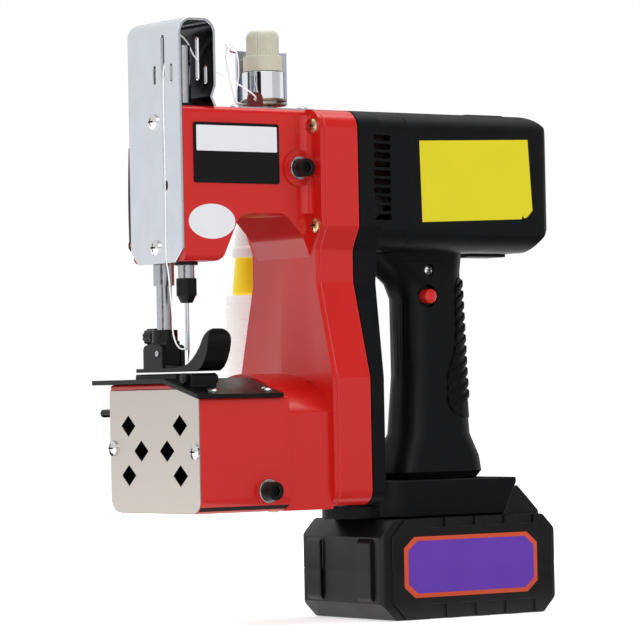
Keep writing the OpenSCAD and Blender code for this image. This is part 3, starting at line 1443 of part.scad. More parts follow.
// Looper: rocking shaft, arm and hook blade beside the needle
module looper() {
  x0 = needle_x + 1.9;
  color(chrome) {
    rod_x(x0, block_end - wall, looper_r, looper_y, looper_z);
    along_x(x0, 3.4) polygon([
      [looper_y + 4, looper_z], [looper_y + 2, looper_z + 14], [-4, looper_z + 19.4], [-needle_y - 6,
        looper_z + 19],
      [-needle_y - 1, looper_z + 17.6], [-4, looper_z + 15], [looper_y - 6, looper_z + 9], [looper_y - 4,
        looper_z]
    ]);
  }
}
module gear_motor() {
  can_x0 = seam_x - 5;
  can_x1 = motor_tail - 18;
  gear_x = [cover_back + housing_wall, cover_back + housing_wall + 12];
  color("#8d9094") {
    difference() {
      rod_x(gear_x[0], gear_x[1], 25, 0, main_z);
      rod_x(gear_x[0] - 1, cover_back + 8.4, shaft_d / 2 + run_gap, 0, main_z);
      rod_x(gear_x[1] - 2.5, gear_x[1] + 1, rotor_r + run_gap, 0, main_z);
    }
    difference() {
      rod_x(can_x0, can_x1, can_d / 2, 0, main_z);
      rod_x(can_x0 + 3, can_x1 - 3, can_d / 2 - 3, 0, main_z);
      rod_x(can_x0 - 1, can_x1 + 1, rotor_r + run_gap, 0, main_z);
    }
  }
}
rotor_r = 4;
fan_r = 23;
fan_blades = 9;
module motor_rotor() {
  gear_end = cover_back + housing_wall + 12 - 2;
  fan_x = gear_end + 4.5;
  color("#7d5a3c") {
    rod_x(gear_end, motor_tail - 14, rotor_r, 0, main_z);
    rod_x(seam_x + 8, motor_tail - 46, can_d / 2 - 5, 0, main_z);
    rod_x(motor_tail - 40, motor_tail - 26, 11, 0, main_z);
    rod_x(fan_x, fan_x + 1.5, fan_r, 0, main_z);
    for (i = [0:fan_blades - 1]) translate([fan_x + 1, 0, main_z]) rotate([360 * i / fan_blades, 0, 0])
      translate([0, -0.8, 6]) cube([6, 1.6, fan_r - 7]);
  }
}

head_casting();
column_cover();
motor_front_housing();
handle_shell_near();
handle_shell_far();
grip_rubber();
switch_panel();
start_button();
switch_body();
battery_shoe();
battery_case();
battery_cells();
latch_button();
needle_cover();
looper_cover();
cover_screws();
bag_guide_plate();
small_screws();
edge_guide_block();
edge_guide_bolt();
brass_screws();
cap_screws();
cap_washers();
bottom_cover();
needle_bar_bushings();
presser_bar_sleeve();
presser_lifter();
tension_strip();
thread_eyelet();
tension_post();
tension_discs();
tension_cup();
tension_spring();
tension_knob();
thread_guide_bracket();
spool_bracket();
spool_tube();
thread_winding();
spool_cap();
needle_thread();
main_shaft();
shaft_bearings();
connecting_rod();
needle_bar();
needle_clamp();
needle();
upper_pulley();
lower_pulley();
timing_belt();
lower_shaft();
looper();
feed_dog();
presser_bar();
presser_spring();
foot_clamp();
thumb_screw();
presser_foot();
foot_pin();
gear_motor();
motor_rotor();
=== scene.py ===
import json
import math

import bmesh
import bpy
from mathutils import Matrix, Vector
from mathutils.bvhtree import BVHTree
from mathutils.geometry import intersect_point_line
from mathutils.kdtree import KDTree

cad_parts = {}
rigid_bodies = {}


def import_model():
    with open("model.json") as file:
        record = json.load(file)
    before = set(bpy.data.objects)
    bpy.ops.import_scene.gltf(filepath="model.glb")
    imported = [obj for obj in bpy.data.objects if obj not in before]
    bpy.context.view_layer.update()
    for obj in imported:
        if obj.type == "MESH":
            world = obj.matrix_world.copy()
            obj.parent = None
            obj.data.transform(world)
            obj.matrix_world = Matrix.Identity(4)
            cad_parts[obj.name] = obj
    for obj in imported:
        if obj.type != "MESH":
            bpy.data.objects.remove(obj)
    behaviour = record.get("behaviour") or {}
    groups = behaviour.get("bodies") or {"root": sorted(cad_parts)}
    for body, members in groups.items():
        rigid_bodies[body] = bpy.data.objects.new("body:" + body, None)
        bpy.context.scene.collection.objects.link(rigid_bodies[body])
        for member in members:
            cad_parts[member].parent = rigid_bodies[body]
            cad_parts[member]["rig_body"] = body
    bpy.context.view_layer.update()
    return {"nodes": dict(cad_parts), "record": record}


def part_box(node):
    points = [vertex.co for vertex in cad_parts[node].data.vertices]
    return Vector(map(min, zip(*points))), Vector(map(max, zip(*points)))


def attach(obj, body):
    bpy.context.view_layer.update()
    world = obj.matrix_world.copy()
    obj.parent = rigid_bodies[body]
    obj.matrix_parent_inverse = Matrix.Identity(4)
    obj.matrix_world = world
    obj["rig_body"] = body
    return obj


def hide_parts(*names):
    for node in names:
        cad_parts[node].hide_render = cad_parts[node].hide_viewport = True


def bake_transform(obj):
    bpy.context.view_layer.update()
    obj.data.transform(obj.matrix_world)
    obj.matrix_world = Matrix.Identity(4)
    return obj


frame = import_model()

nodes = frame["nodes"]
scene = bpy.context.scene
MM = 0.001
WELD = 0.002 * MM
FLAT = math.radians(0.4)


# Camera at the photograph's viewing angle
CAMERA_TURN = math.radians(-35.787)
CAMERA_RISE = math.radians(-1.246)
CAMERA_ROLL = math.radians(-1.127)
CAMERA_AIM = Vector((-74.58, 0.0, 166.31)) * MM
CAMERA_REACH = 1973.84 * MM
FOCAL_PIXELS = 3560.12
PICTURE_PIXELS = 640
SENSOR = 36.0


def make_camera():
    """The camera looks at the aim point, turned a little about its own axis."""
    back = Vector((
        math.sin(CAMERA_TURN) * math.cos(CAMERA_RISE),
        -math.cos(CAMERA_TURN) * math.cos(CAMERA_RISE),
        math.sin(CAMERA_RISE),
    ))
    level = (-back).cross(Vector((0, 0, 1))).normalized()
    upright = level.cross(-back)
    right = math.cos(CAMERA_ROLL) * level + math.sin(CAMERA_ROLL) * upright
    up = math.cos(CAMERA_ROLL) * upright - math.sin(CAMERA_ROLL) * level
    data = bpy.data.cameras.new("camera")
    data.sensor_width = SENSOR
    data.lens = FOCAL_PIXELS * SENSOR / PICTURE_PIXELS
    camera = bpy.data.objects.new("camera", data)
    scene.collection.objects.link(camera)
    turn = Matrix((right, up, back)).transposed().to_4x4()
    camera.matrix_world = Matrix.Translation(CAMERA_AIM + back * CAMERA_REACH) @ turn
    scene.camera = camera


make_camera()


# Finishes
DRIFT_DETAIL = 3.0
DRIFT_RANGE = (0.2, 0.8)
GRAIN_DETAIL = 2.0
SMOOTHEST = 0.02


def screen(r, g, b):
    """A colour as a screen shows it, 0 to 255, in the linear values that a shader takes."""
    return tuple(c / 255 / 12.92 if c < 11 else ((c / 255 + 0.055) / 1.055) ** 2.4 for c in (r, g, b))


def shade(colour, factor):
    """The same colour, lighter or darker."""
    return tuple(min(1.0, c * factor) for c in colour) + (1.0,)


def finish(name, colour, rough, metal=0.0, mottle=0.08, mottle_size=14.0, rough_spread=0.06,
           grain=0.0, grain_size=0.5, grain_depth=0.05, stretch=(1, 1, 1), sockets=None):
    """A surface whose colour and roughness drift a little, with a fine grain in its relief. Sizes in mm."""
    material = bpy.data.materials.new(name)
    material.use_nodes = True
    tree = material.node_tree
    shader = tree.nodes["Principled BSDF"]
    shader.inputs["Metallic"].default_value = metal
    for socket, value in (sockets or {}).items():
        shader.inputs[socket].default_value = value
    place = tree.nodes.new("ShaderNodeTexCoord")
    drawn = tree.nodes.new("ShaderNodeMapping")
    drawn.inputs["Scale"].default_value = stretch
    tree.links.new(place.outputs["Object"], drawn.inputs["Vector"])
    drift = tree.nodes.new("ShaderNodeTexNoise")
    drift.inputs["Scale"].default_value = 1 / (mottle_size * MM)
    drift.inputs["Detail"].default_value = DRIFT_DETAIL
    tree.links.new(drawn.outputs["Vector"], drift.inputs["Vector"])
    tint = tree.nodes.new("ShaderNodeMix")
    tint.data_type = "RGBA"
    tint.inputs["A"].default_value = shade(colour, 1 - mottle)
    tint.inputs["B"].default_value = shade(colour, 1 + mottle)
    tree.links.new(drift.outputs["Fac"], tint.inputs["Factor"])
    tree.links.new(tint.outputs["Result"], shader.inputs["Base Color"])
    gloss = tree.nodes.new("ShaderNodeMapRange")
    gloss.interpolation_type = "SMOOTHSTEP"
    gloss.inputs["From Min"].default_value = DRIFT_RANGE[0]
    gloss.inputs["From Max"].default_value = DRIFT_RANGE[1]
    gloss.inputs["To Min"].default_value = max(SMOOTHEST, rough - rough_spread)
    gloss.inputs["To Max"].default_value = min(1.0, rough + rough_spread)
    tree.links.new(drift.outputs["Fac"], gloss.inputs["Value"])
    tree.links.new(gloss.outputs["Result"], shader.inputs["Roughness"])
    if grain > 0:
        fine = tree.nodes.new("ShaderNodeTexNoise")
        fine.inputs["Scale"].default_value = 1 / (grain_size * MM)
        fine.inputs["Detail"].default_value = GRAIN_DETAIL
        tree.links.new(drawn.outputs["Vector"], fine.inputs["Vector"])
        relief = tree.nodes.new("ShaderNodeBump")
        relief.inputs["Strength"].default_value = grain
        relief.inputs["Distance"].default_value = grain_depth * MM
        tree.links.new(fine.outputs["Fac"], relief.inputs["Height"])
        tree.links.new(relief.outputs["Normal"], shader.inputs["Normal"])
    return material


red_paint = finish(
    "red_paint", screen(202, 22, 15), 0.33, mottle=0.03, mottle_size=30, rough_spread=0.04, grain=0.04, grain_size=1.6,
    grain_depth=0.05, sockets={"Coat Weight": 0.3, "Coat Roughness": 0.1, "Specular IOR Level": 0.4})
# Chamber walls: a dark colour that stands in for the shade inside the base and arm, painted shade
chamber_wall_painted_shade = finish(
    "chamber_wall_painted_shade", screen(34, 22, 21), 0.75, mottle=0.2, mottle_size=5, grain=0.4, grain_size=0.8, grain_depth=0.08,
    sockets={"Specular IOR Level": 0.2})
black_moulding = finish(
    "black_moulding", screen(13, 14, 16), 0.44, mottle=0.1, rough_spread=0.04, grain=0.3, grain_size=0.4,
    grain_depth=0.03, sockets={"Specular IOR Level": 0.13})
grip_rubber = finish(
    "grip_rubber", screen(10, 10, 11), 0.56, mottle=0.15, grain=0.35, grain_size=0.7, grain_depth=0.05,
    sockets={"Specular IOR Level": 0.12})
button_red = finish("button_red", screen(214, 36, 30), 0.34, grain=0.08, grain_size=0.8)
battery_black = finish(
    "battery_black", screen(16, 16, 18), 0.36, mottle=0.12, rough_spread=0.05, grain=0.3, grain_size=0.45,
    grain_depth=0.03, sockets={"Specular IOR Level": 0.3})
cell_wrap = finish("cell_wrap", screen(60, 110, 175), 0.4)
chrome_sheet = finish(
    "chrome_sheet", screen(205, 209, 216), 0.2, metal=1.0, mottle=0.04, rough_spread=0.05, grain=0.06, grain_size=3.0)
# Dark chrome for the cover's inside faces: painted shade
chrome_inside_painted_shade = finish(
    "chrome_inside_painted_shade", screen(40, 40, 44), 0.2, metal=1.0, mottle=0.12, mottle_size=6, rough_spread=0.06, grain=0.06,
    grain_size=2.0)
bright_cup = finish("bright_cup", screen(226, 228, 230), 0.07, metal=1.0, mottle=0.03, rough_spread=0.03)
bracket_sheet = finish("bracket_sheet", screen(204, 211, 226), 0.2, metal=1.0, mottle=0.04, rough_spread=0.04)
disc_steel = finish("disc_steel", screen(128, 112, 90), 0.2, metal=1.0, mottle=0.1, mottle_size=3)
# Dark colour for the cross recesses: painted shade
recess_painted_shade = finish("recess_painted_shade", screen(34, 34, 36), 0.5, metal=0.6, mottle=0.2, mottle_size=1)
brushed_sheet = finish(
    "brushed_sheet", screen(178, 172, 165), 0.3, metal=1.0, mottle=0.012, mottle_size=1.5, rough_spread=0.02,
    grain=0.03, grain_size=0.8, grain_depth=0.01, stretch=(1, 1, 0.15))
ground_steel = finish(
    "ground_steel", screen(168, 170, 174), 0.23, metal=1.0, mottle=0.08, mottle_size=3, rough_spread=0.04)
zinc_screw = finish(
    "zinc_screw", screen(205, 205, 204), 0.23, metal=1.0, mottle=0.1, mottle_size=1.5, rough_spread=0.04)
black_steel = finish(
    "black_steel", screen(9, 9, 10), 0.36, metal=0.0, mottle=0.15, grain=0.12, grain_size=0.8,
    sockets={"Specular IOR Level": 0.2})
brass_zinc = finish(
    "brass_zinc", screen(206, 192, 150), 0.23, metal=1.0, mottle=0.14, mottle_size=1.5, rough_spread=0.04)
# Eyelet: dark red that stands in for the red arm mirrored in its metal, painted reflection
eyelet_red = finish("eyelet_red", screen(92, 12, 10), 0.4, mottle=0.1, grain=0.1)
knob_ivory = finish(
    "knob_ivory", screen(204, 201, 182), 0.36, mottle=0.05, mottle_size=5, grain=0.06,
    sockets={"Subsurface Weight": 0.12, "Subsurface Radius": (0.002, 0.0016, 0.0010)})
# The spool, its cap and the thread glow a little: painted light, since they sit in shade
spool_yellow = finish(
    "spool_yellow", screen(250, 218, 26), 0.36, mottle=0.05, grain=0.06,
    sockets={"Emission Color": screen(250, 228, 20) + (1,), "Emission Strength": 0.2})
cap_white = finish(
    "cap_white", screen(236, 236, 233), 0.4, mottle=0.03, grain=0.05,
    sockets={"Emission Color": (1, 1, 1, 1), "Emission Strength": 0.16})
thread_white = finish(
    "thread_white", screen(236, 236, 234), 0.85, mottle=0.05, mottle_size=0.8, grain=0.5, grain_size=0.25,
    sockets={"Sheen Weight": 0.2, "Emission Color": (1, 1, 1, 1), "Emission Strength": 0.3})
pulley_metal = finish("pulley_metal", screen(178, 181, 184), 0.35, metal=1.0, mottle=0.08)
belt_rubber = finish("belt_rubber", screen(32, 32, 33), 0.7, mottle=0.15, grain=0.3)
motor_steel = finish("motor_steel", screen(160, 163, 168), 0.4, metal=1.0, mottle=0.08)
rotor_copper = finish("rotor_copper", screen(184, 110, 70), 0.35, metal=1.0, mottle=0.12, mottle_size=2)
plate_white = finish(
    "plate_white", screen(232, 234, 238), 0.34, mottle=0.02, mottle_size=8, grain=0.05, grain_size=0.6)
plate_black = finish(
    "plate_black", screen(9, 9, 11), 0.25, mottle=0.06, rough_spread=0.02, grain=0.05, grain_size=0.6,
    sockets={"Specular IOR Level": 0.2})
label_yellow = finish("label_yellow", screen(226, 212, 16), 0.4, mottle=0.03, mottle_size=20, grain=0.06, grain_size=3)
label_purple = finish("label_purple", screen(100, 52, 176), 0.36, mottle=0.06, mottle_size=18, grain=0.05)
label_orange = finish("label_orange", screen(212, 78, 40), 0.36, mottle=0.04, grain=0.05)

SLOT_FINISH = {
    "casting_red": red_paint, "black_plastic": black_moulding, "grip_rubber": grip_rubber, "button_red": button_red,
    "battery_plastic": battery_black, "cell_wrap": cell_wrap, "chrome_sheet": chrome_sheet,
    "steel_sheet": brushed_sheet, "steel": ground_steel, "black_steel": black_steel, "brass_zinc": brass_zinc,
    "eyelet_red": eyelet_red, "knob_ivory": knob_ivory, "spool_yellow": spool_yellow, "thread_white": thread_white,
    "pulley_metal": pulley_metal, "belt_rubber": belt_rubber, "motor_steel": motor_steel,
    "rotor_copper": rotor_copper,
}
SLOTS = {entry["node"]: entry["material_slot"] for entry in frame["record"]["subparts"]}

# Every CAD node gets its finish, the ones inside too
for name, node in nodes.items():
    node.data.materials.clear()
    node.data.materials.append(SLOT_FINISH[SLOTS[name]])


# Rounding: a run of sharp edges takes the widest share of the width that it has room for
ROUNDING = (1.0, 0.6, 0.35, 0.2)
LEAST_TURN = math.radians(30)
BEVEL_STEPS = 3
# How nearly straight an edge has to run on, and the first share for a run that ends in a flat face
RUN_ON = -0.7
DEAD_END = 3
# Room needed at an edge's ends and across its faces, in widths, and where along the edge the gap is measured
ROOM = 1.6
FACING = -0.3
FACING_ROOM = 2.4
FAR = 10 * MM
ALONG = (0.02, 0.5, 0.98)
# What counts as a spoilt face or corner, and how far round it the edges stay sharp
SLIVER = 2e-9
TURNED_OVER = -0.2
THROWN = 0.62
MARKS = 6
REACH = 1.2
REACH_MORE = 0.2
TRIES = 6
# Places with too little room for a round edge, mm
LEFT_SHARP = {
    "motor_front_housing": (((-66, -36, 218), (-45, 36, 270)),),
}
# Faces that turn more than this keep a hard edge between them
CREASE = math.radians(38)


def body_of(node):
    return nodes[node]["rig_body"]


def copy_of(node):
    """A CAD node's mesh, merged, with its flat faces joined."""
    bm = bmesh.new()
    bm.from_mesh(nodes[node].data)
    bmesh.ops.remove_doubles(bm, verts=bm.verts[:], dist=WELD)
    bmesh.ops.dissolve_limit(bm, angle_limit=FLAT, verts=bm.verts[:], edges=bm.edges[:])
    return bm


def sharp_edges(bm):
    """The edges that turn enough to be rounded."""
    return {e for e in bm.edges if len(e.link_faces) == 2 and e.calc_face_angle(0.0) > LEAST_TURN}


def middle_of(edge):
    return (edge.verts[0].co + edge.verts[1].co) / 2


def within(point, low, high):
    """Whether a point lies inside a box, in mm."""
    return all(a * MM < c < b * MM for c, a, b in zip(point, low, high))


def inward(edge, face):
    """The direction across a face, away from one of its edges."""
    along = (edge.verts[1].co - edge.verts[0].co).normalized()
    across = face.normal.cross(along)
    loop = next(corner for corner in edge.link_loops if corner.face is face)
    return across if loop.vert is edge.verts[0] else -across


def facing_gap(edge):
    """The distance across the edge's faces to the nearest edge that faces it."""
    least = FAR
    ends = [v.co for v in edge.verts]
    spots = [ends[0].lerp(ends[1], t) for t in ALONG]
    for face in edge.link_faces:
        across = inward(edge, face)
        for other in face.edges:
            if other is edge or any(v in edge.verts for v in other.verts):
                continue
            if across.dot(inward(other, face)) > FACING:
                continue
            first, last = (v.co for v in other.verts)
            for spot in spots:
                share = intersect_point_line(spot, first, last)[1]
                step = first.lerp(last, min(1.0, max(0.0, share))) - spot
                if step.dot(across) > 0:
                    least = min(least, step.length)
    return least


def neighbours(edge, sharp):
    """The sharp edges that carry an edge's run on, and the lengths of the other edges at its ends."""
    onward, crossing, dead_end = [], [], False
    for end in edge.verts:
        along = (edge.other_vert(end).co - end.co).normalized()
        dead_end = dead_end or not any(o in sharp for o in end.link_edges if o is not edge)
        for other in end.link_edges:
            if other is edge:
                continue
            away = (other.other_vert(end).co - end.co).normalized()
            if other in sharp and away.dot(along) < RUN_ON:
                onward.append(other)
            else:
                crossing.append(other.calc_length())
    return onward, min(crossing, default=1.0), dead_end


def runs_of(sharp):
    """The sharp edges in runs, each with its room and whether it ends in a flat face."""
    left = set(sharp)
    while left:
        front, run, room, open_end = [left.pop()], [], 1.0, False
        while front:
            edge = front.pop()
            run.append(edge)
            onward, shortest, dead_end = neighbours(edge, sharp)
            room = min(room, shortest / ROOM, facing_gap(edge) / FACING_ROOM)
            open_end = open_end or dead_end
            for other in onward:
                if other in left:
                    left.remove(other)
                    front.append(other)
        yield run, room, open_end


def bevel_ranks(bm, width):
    """A copy with each ranked edge rounded by its share of the width."""
    done = bm.copy()
    rank = done.edges.layers.int["rounding"]
    for step, share in enumerate(ROUNDING, 1):
        chosen = [e for e in done.edges if e[rank] == step and e.calc_face_angle(0.0) > LEAST_TURN]
        if chosen:
            bmesh.ops.bevel(
                done, geom=chosen, offset=width * share * MM, offset_type="OFFSET", segments=BEVEL_STEPS,
                profile=0.5, affect="EDGES", clamp_overlap=False, material=-1)
    return done


def faults(done, skin, width):
    """Where a rounded copy has a face turned over, or a corner thrown off the skin that it came from."""
    for face in done.faces:
        if face.calc_area() > SLIVER:
            centre = face.calc_center_median()
            if skin.find_nearest(centre)[1].dot(face.normal) < TURNED_OVER:
                yield centre
    for vert in done.verts:
        if skin.find_nearest(vert.co)[3] > THROWN * width * MM:
            yield vert.co


def round_edges(bm, width, left_sharp=()):
    """A copy with its sharp edges rounded run by run, by less in tight places.

    An edge whose rounding would spoil a face stays sharp. The mesh handed in is freed."""
    rank = bm.edges.layers.int.new("rounding")
    sharp = {e for e in sharp_edges(bm) if not any(within(middle_of(e), *box) for box in left_sharp)}
    for run, room, open_end in runs_of(sharp):
        for step, share in enumerate(ROUNDING, 1):
            if width * share * MM < room and not (open_end and step < DEAD_END):
                for edge in run:
                    edge[rank] = step
                break
    marks = [(edge.verts[0].co.lerp(edge.verts[1].co, i / MARKS), edge)
             for edge in sharp for i in range(MARKS + 1)]
    finder = KDTree(len(marks))
    for i, (spot, _) in enumerate(marks):
        finder.insert(spot, i)
    finder.balance()
    skin = BVHTree.FromBMesh(bm)
    for _ in range(TRIES):
        done = bevel_ranks(bm, width)
        spoilt = [marks[i][1] for spot in faults(done, skin, width)
                  for _, i, _ in finder.find_range(spot, (REACH * width + REACH_MORE) * MM)]
        if not spoilt:
            break
        for edge in spoilt:
            edge[rank] = 0
    bm.free()
    return done


def make_piece(bm, name, body, slot, *materials):
    """A finished piece at the origin, smooth but for its creases, riding on its body."""
    for edge in bm.edges:
        edge.smooth = len(edge.link_faces) == 2 and edge.calc_face_angle(0.0) < CREASE
    for face in bm.faces:
        face.smooth = True
    mesh = bpy.data.meshes.new(name)
    bm.to_mesh(mesh)
    bm.free()
    piece = bpy.data.objects.new(name, mesh)
    scene.collection.objects.link(piece)
    for material in materials:
        mesh.materials.append(material)
    weighted = piece.modifiers.new("weighted", "WEIGHTED_NORMAL")
    weighted.keep_sharp = True
    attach(piece, body)
    return piece


def put_in_place_of(node, bm, *materials):
    """A finished piece that stands where a CAD node is."""
    slot = SLOTS[node]
    piece = make_piece(bm, node + "_finished", body_of(node), slot, *(materials or (SLOT_FINISH[slot],)))
    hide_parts(node)


def soften(node, width, material=None):
    """A CAD node with rounded edges, in its place."""
    bm = round_edges(copy_of(node), width, left_sharp=LEFT_SHARP.get(node, ()))
    put_in_place_of(node, bm, material or SLOT_FINISH[SLOTS[node]])


# Parting seams, mm
SEAM_WIDTH = 0.5
SEAM_DEPTH = 0.45
CUT_REACH = 1e-8
ON_SEAM = 1e-6


def score(bm, at, normal, where):
    """A shallow parting groove round a piece, where a plane cuts it."""
    at, normal = Vector(at) * MM, Vector(normal)
    for shift in (-SEAM_WIDTH / 2, 0, SEAM_WIDTH / 2):
        bmesh.ops.bisect_plane(
            bm, geom=bm.verts[:] + bm.edges[:] + bm.faces[:], dist=CUT_REACH, plane_co=at + normal * shift * MM,
            plane_no=normal)
    bm.normal_update()
    deep = [v for v in bm.verts if abs((v.co - at).dot(normal)) < ON_SEAM and where(v.co)]
    for vert, step in [(v, v.normal * SEAM_DEPTH * MM) for v in deep]:
        vert.co -= step


# Castings: red paint outside; the chamber walls are unpainted, in a dark colour that is painted shade, mm
CASTING_EDGE = 1.6
COLUMN_EDGE = 1.4
CHAMBERS = (
    ((-184.6, -42.2, 64.5), (-128.5, 42.2, 120.0)),
    ((-180.2, -23.8, 202.9), (-161.0, 23.8, 278.8)),
    ((-161.0, -23.8, 227.0), (-99.0, 23.8, 278.8)),
)
# Behind the ridge and at the ends of the throat's curve
SHARP_CORNERS = (((-106, 15, 60), (-95, 50, 285)), ((-107, -27, 195), (-97, 27, 214)))


def make_head_casting():
    bm = round_edges(copy_of("head_casting"), CASTING_EDGE, left_sharp=CHAMBERS + SHARP_CORNERS)
    # Faces inside the chambers take the dark colour, painted shade
    for face in bm.faces:
        centre = face.calc_center_median()
        if any(within(centre, *chamber) for chamber in CHAMBERS):
            face.material_index = 1
    put_in_place_of("head_casting", bm, red_paint, chamber_wall_painted_shade)


make_head_casting()
soften("column_cover", COLUMN_EDGE)


# Battery case: the two halves part at mid height, and the shoe at its middle, mm
BATTERY_EDGE = 1.0
CASE_SEAM = 27.6
CASE_ENDS = (-56, 59)
CASE_HALF = 37
SHOE_NOSE = -50


def on_case_side(point):
    """Whether a point lies on the outer walls of the battery case."""
    x, y, _ = point / MM
    return x < CASE_ENDS[0] or abs(y) > CASE_HALF or x > CASE_ENDS[1]


def make_battery_case():
    bm = round_edges(copy_of("battery_case"), BATTERY_EDGE)
    score(bm, (0, 0, CASE_SEAM), (0, 0, 1), on_case_side)
    put_in_place_of("battery_case", bm)


def make_battery_shoe():
    bm = round_edges(copy_of("battery_shoe"), BATTERY_EDGE)
    score(bm, (0, 0, 0), (0, 1, 0), lambda point: point.x < SHOE_NOSE * MM)
    put_in_place_of("battery_shoe", bm)


make_battery_case()
make_battery_shoe()


# Grip: the hollow of the shells comes through at its front, where a skin closes it, mm
HOLLOW_FRONT, HOLLOW_SIDE = -21.0, 8.9
WALL_NEAR = 0.1
SQUARE_ON = 0.99
SLIT_BEFORE, SLIT_OFF_MIDDLE = -18.5, 1.5
SHELL_EDGE = 0.7


def hollow_wall(face):
    """Whether a face is one of the hollow's walls."""
    centre = face.calc_center_median() / MM
    if abs(face.normal.x) > SQUARE_ON:
        return abs(centre.x - HOLLOW_FRONT) < WALL_NEAR
    return abs(face.normal.y) > SQUARE_ON and abs(abs(centre.y) - HOLLOW_SIDE) < WALL_NEAR


def make_handle_shell(node):
    bm = copy_of(node)
    rim = []
    for edge in bm.edges:
        middle = middle_of(edge) / MM
        in_front = middle.x < SLIT_BEFORE and abs(middle.y) > SLIT_OFF_MIDDLE
        if in_front and sum(hollow_wall(f) for f in edge.link_faces) == 1:
            rim.append(edge)
    skin = bmesh.ops.triangle_fill(bm, use_beauty=True, edges=rim)["geom"]
    bm.normal_update()
    for face in skin:
        if isinstance(face, bmesh.types.BMFace) and face.normal.x > 0:
            face.normal_flip()
    put_in_place_of(node, round_edges(bm, SHELL_EDGE))


make_handle_shell("handle_shell_near")
make_handle_shell("handle_shell_far")


# Needle cover: bright outside; the faces that look at each other inside are coloured dark, painted shade, mm
COVER_EDGE = 0.3
COVER_SKIN = 0.5
FACES_IN = 0.5


def make_needle_cover():
    bm = round_edges(copy_of("needle_cover"), COVER_EDGE)
    low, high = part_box("needle_cover")
    middle = (low[0] + high[0]) / 2
    # Inward-facing faces inside the cover take the dark chrome, painted shade
    for face in bm.faces:
        centre = face.calc_center_median()
        towards = -face.normal.x if centre.x > middle else face.normal.x
        if towards > FACES_IN and abs(centre.x - middle) < (high[0] - low[0]) / 2 - COVER_SKIN * MM:
            face.material_index = 1
    put_in_place_of("needle_cover", bm, chrome_sheet, chrome_inside_painted_shade)


make_needle_cover()

# Rounded edges of the other pieces, mm, and the finishes that differ from their slot's
EDGE = {
    "motor_front_housing": 0.8, "grip_rubber": 0.3, "switch_panel": 0.5, "start_button": 0.5, "latch_button": 0.6,
    "looper_cover": 0.25, "bag_guide_plate": 0.3, "edge_guide_block": 0.4, "edge_guide_bolt": 0.3, "cap_screws": 0.4,
    "cap_washers": 0.25, "bottom_cover": 0.3, "needle_bar_bushings": 0.4, "presser_bar_sleeve": 0.4,
    "presser_lifter": 0.6, "tension_strip": 0.3, "thread_eyelet": 0.3, "tension_post": 0.4, "spool_bracket": 0.5,
    "spool_tube": 0.5, "needle_bar": 0.4, "needle_clamp": 0.4, "presser_bar": 0.4, "foot_clamp": 0.5,
    "thumb_screw": 0.4, "presser_foot": 0.5, "foot_pin": 0.3, "looper": 0.3, "tension_cup": 0.5,
    "tension_discs": 0.25, "thread_guide_bracket": 0.4, "spool_cap": 0.6, "feed_dog": 0.15,
}
OWN_FINISH = {
    "tension_cup": bright_cup, "tension_discs": disc_steel, "thread_guide_bracket": bracket_sheet,
    "spool_cap": cap_white, "feed_dog": black_steel,
}
for name, width in EDGE.items():
    soften(name, width, OWN_FINISH.get(name))


def make_presser_spring():
    """A copy of the spring's CAD mesh, set where the CAD node was."""
    node = "presser_spring"
    mesh = nodes[node].data.copy()
    mesh.transform(nodes[node].matrix_world)
    piece = bpy.data.objects.new(node + "_finished", mesh)
    scene.collection.objects.link(piece)
    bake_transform(piece)
    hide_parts(node)


make_presser_spring()


# Tension knob: turned, with fine ribs round its grip
KNOB_AXIS = Vector((-112, -3, 0)) * MM
KNOB_PROFILE = (
    (0, 317.8), (3.05, 317.8), (3.05, 302.3), (10.3, 302.3), (10.65, 302.45), (10.8, 302.8), (10.8, 310.1),
    (10.6, 310.6), (10.1, 310.8), (9.2, 310.9), (8.7, 311.4), (8.6, 321.4), (8.4, 322.9), (7.8, 324.0), (6.8, 324.6),
    (5.2, 324.8), (0, 324.8))
KNOB_RIBS = 36
RIB_STEPS = 4
RIB_RISE = (0.45, 0.2, 0.0, 0.2)
RIBBED = (311.2, 322.0)
KNOB_CORE = 5


def turned(bm, profile, axis, steps):
    """A closed round form from a profile of radius and height, in mm."""
    spots = [bm.verts.new(axis + Vector((r, 0, z)) * MM) for r, z in profile]
    edges = [bm.edges.new(pair) for pair in zip(spots, spots[1:])]
    bmesh.ops.spin(bm, geom=spots + edges, cent=axis, axis=(0, 0, 1), angle=2 * math.pi, steps=steps, use_merge=True)
    bmesh.ops.remove_doubles(bm, verts=bm.verts[:], dist=WELD)
    bmesh.ops.recalc_face_normals(bm, faces=bm.faces[:])


def make_tension_knob():
    bm = bmesh.new()
    steps = KNOB_RIBS * RIB_STEPS
    turned(bm, KNOB_PROFILE, KNOB_AXIS, steps)
    for vert in bm.verts:
        out = (vert.co - KNOB_AXIS) * Vector((1, 1, 0))
        if RIBBED[0] * MM < vert.co.z < RIBBED[1] * MM and out.length > KNOB_CORE * MM:
            place = round(math.atan2(out.y, out.x) / (2 * math.pi) * steps)
            vert.co += out.normalized() * RIB_RISE[place % RIB_STEPS] * MM
    put_in_place_of("tension_knob", bm)


make_tension_knob()


# Screws with cross recesses, where the CAD screws are
GRID = 9
CROSS_REACH = 2.5
CROSS_TAPER = 0.55
CROSS_DEPTH = 0.5
CROWN = 0.6
SHANK_SIDES = 14


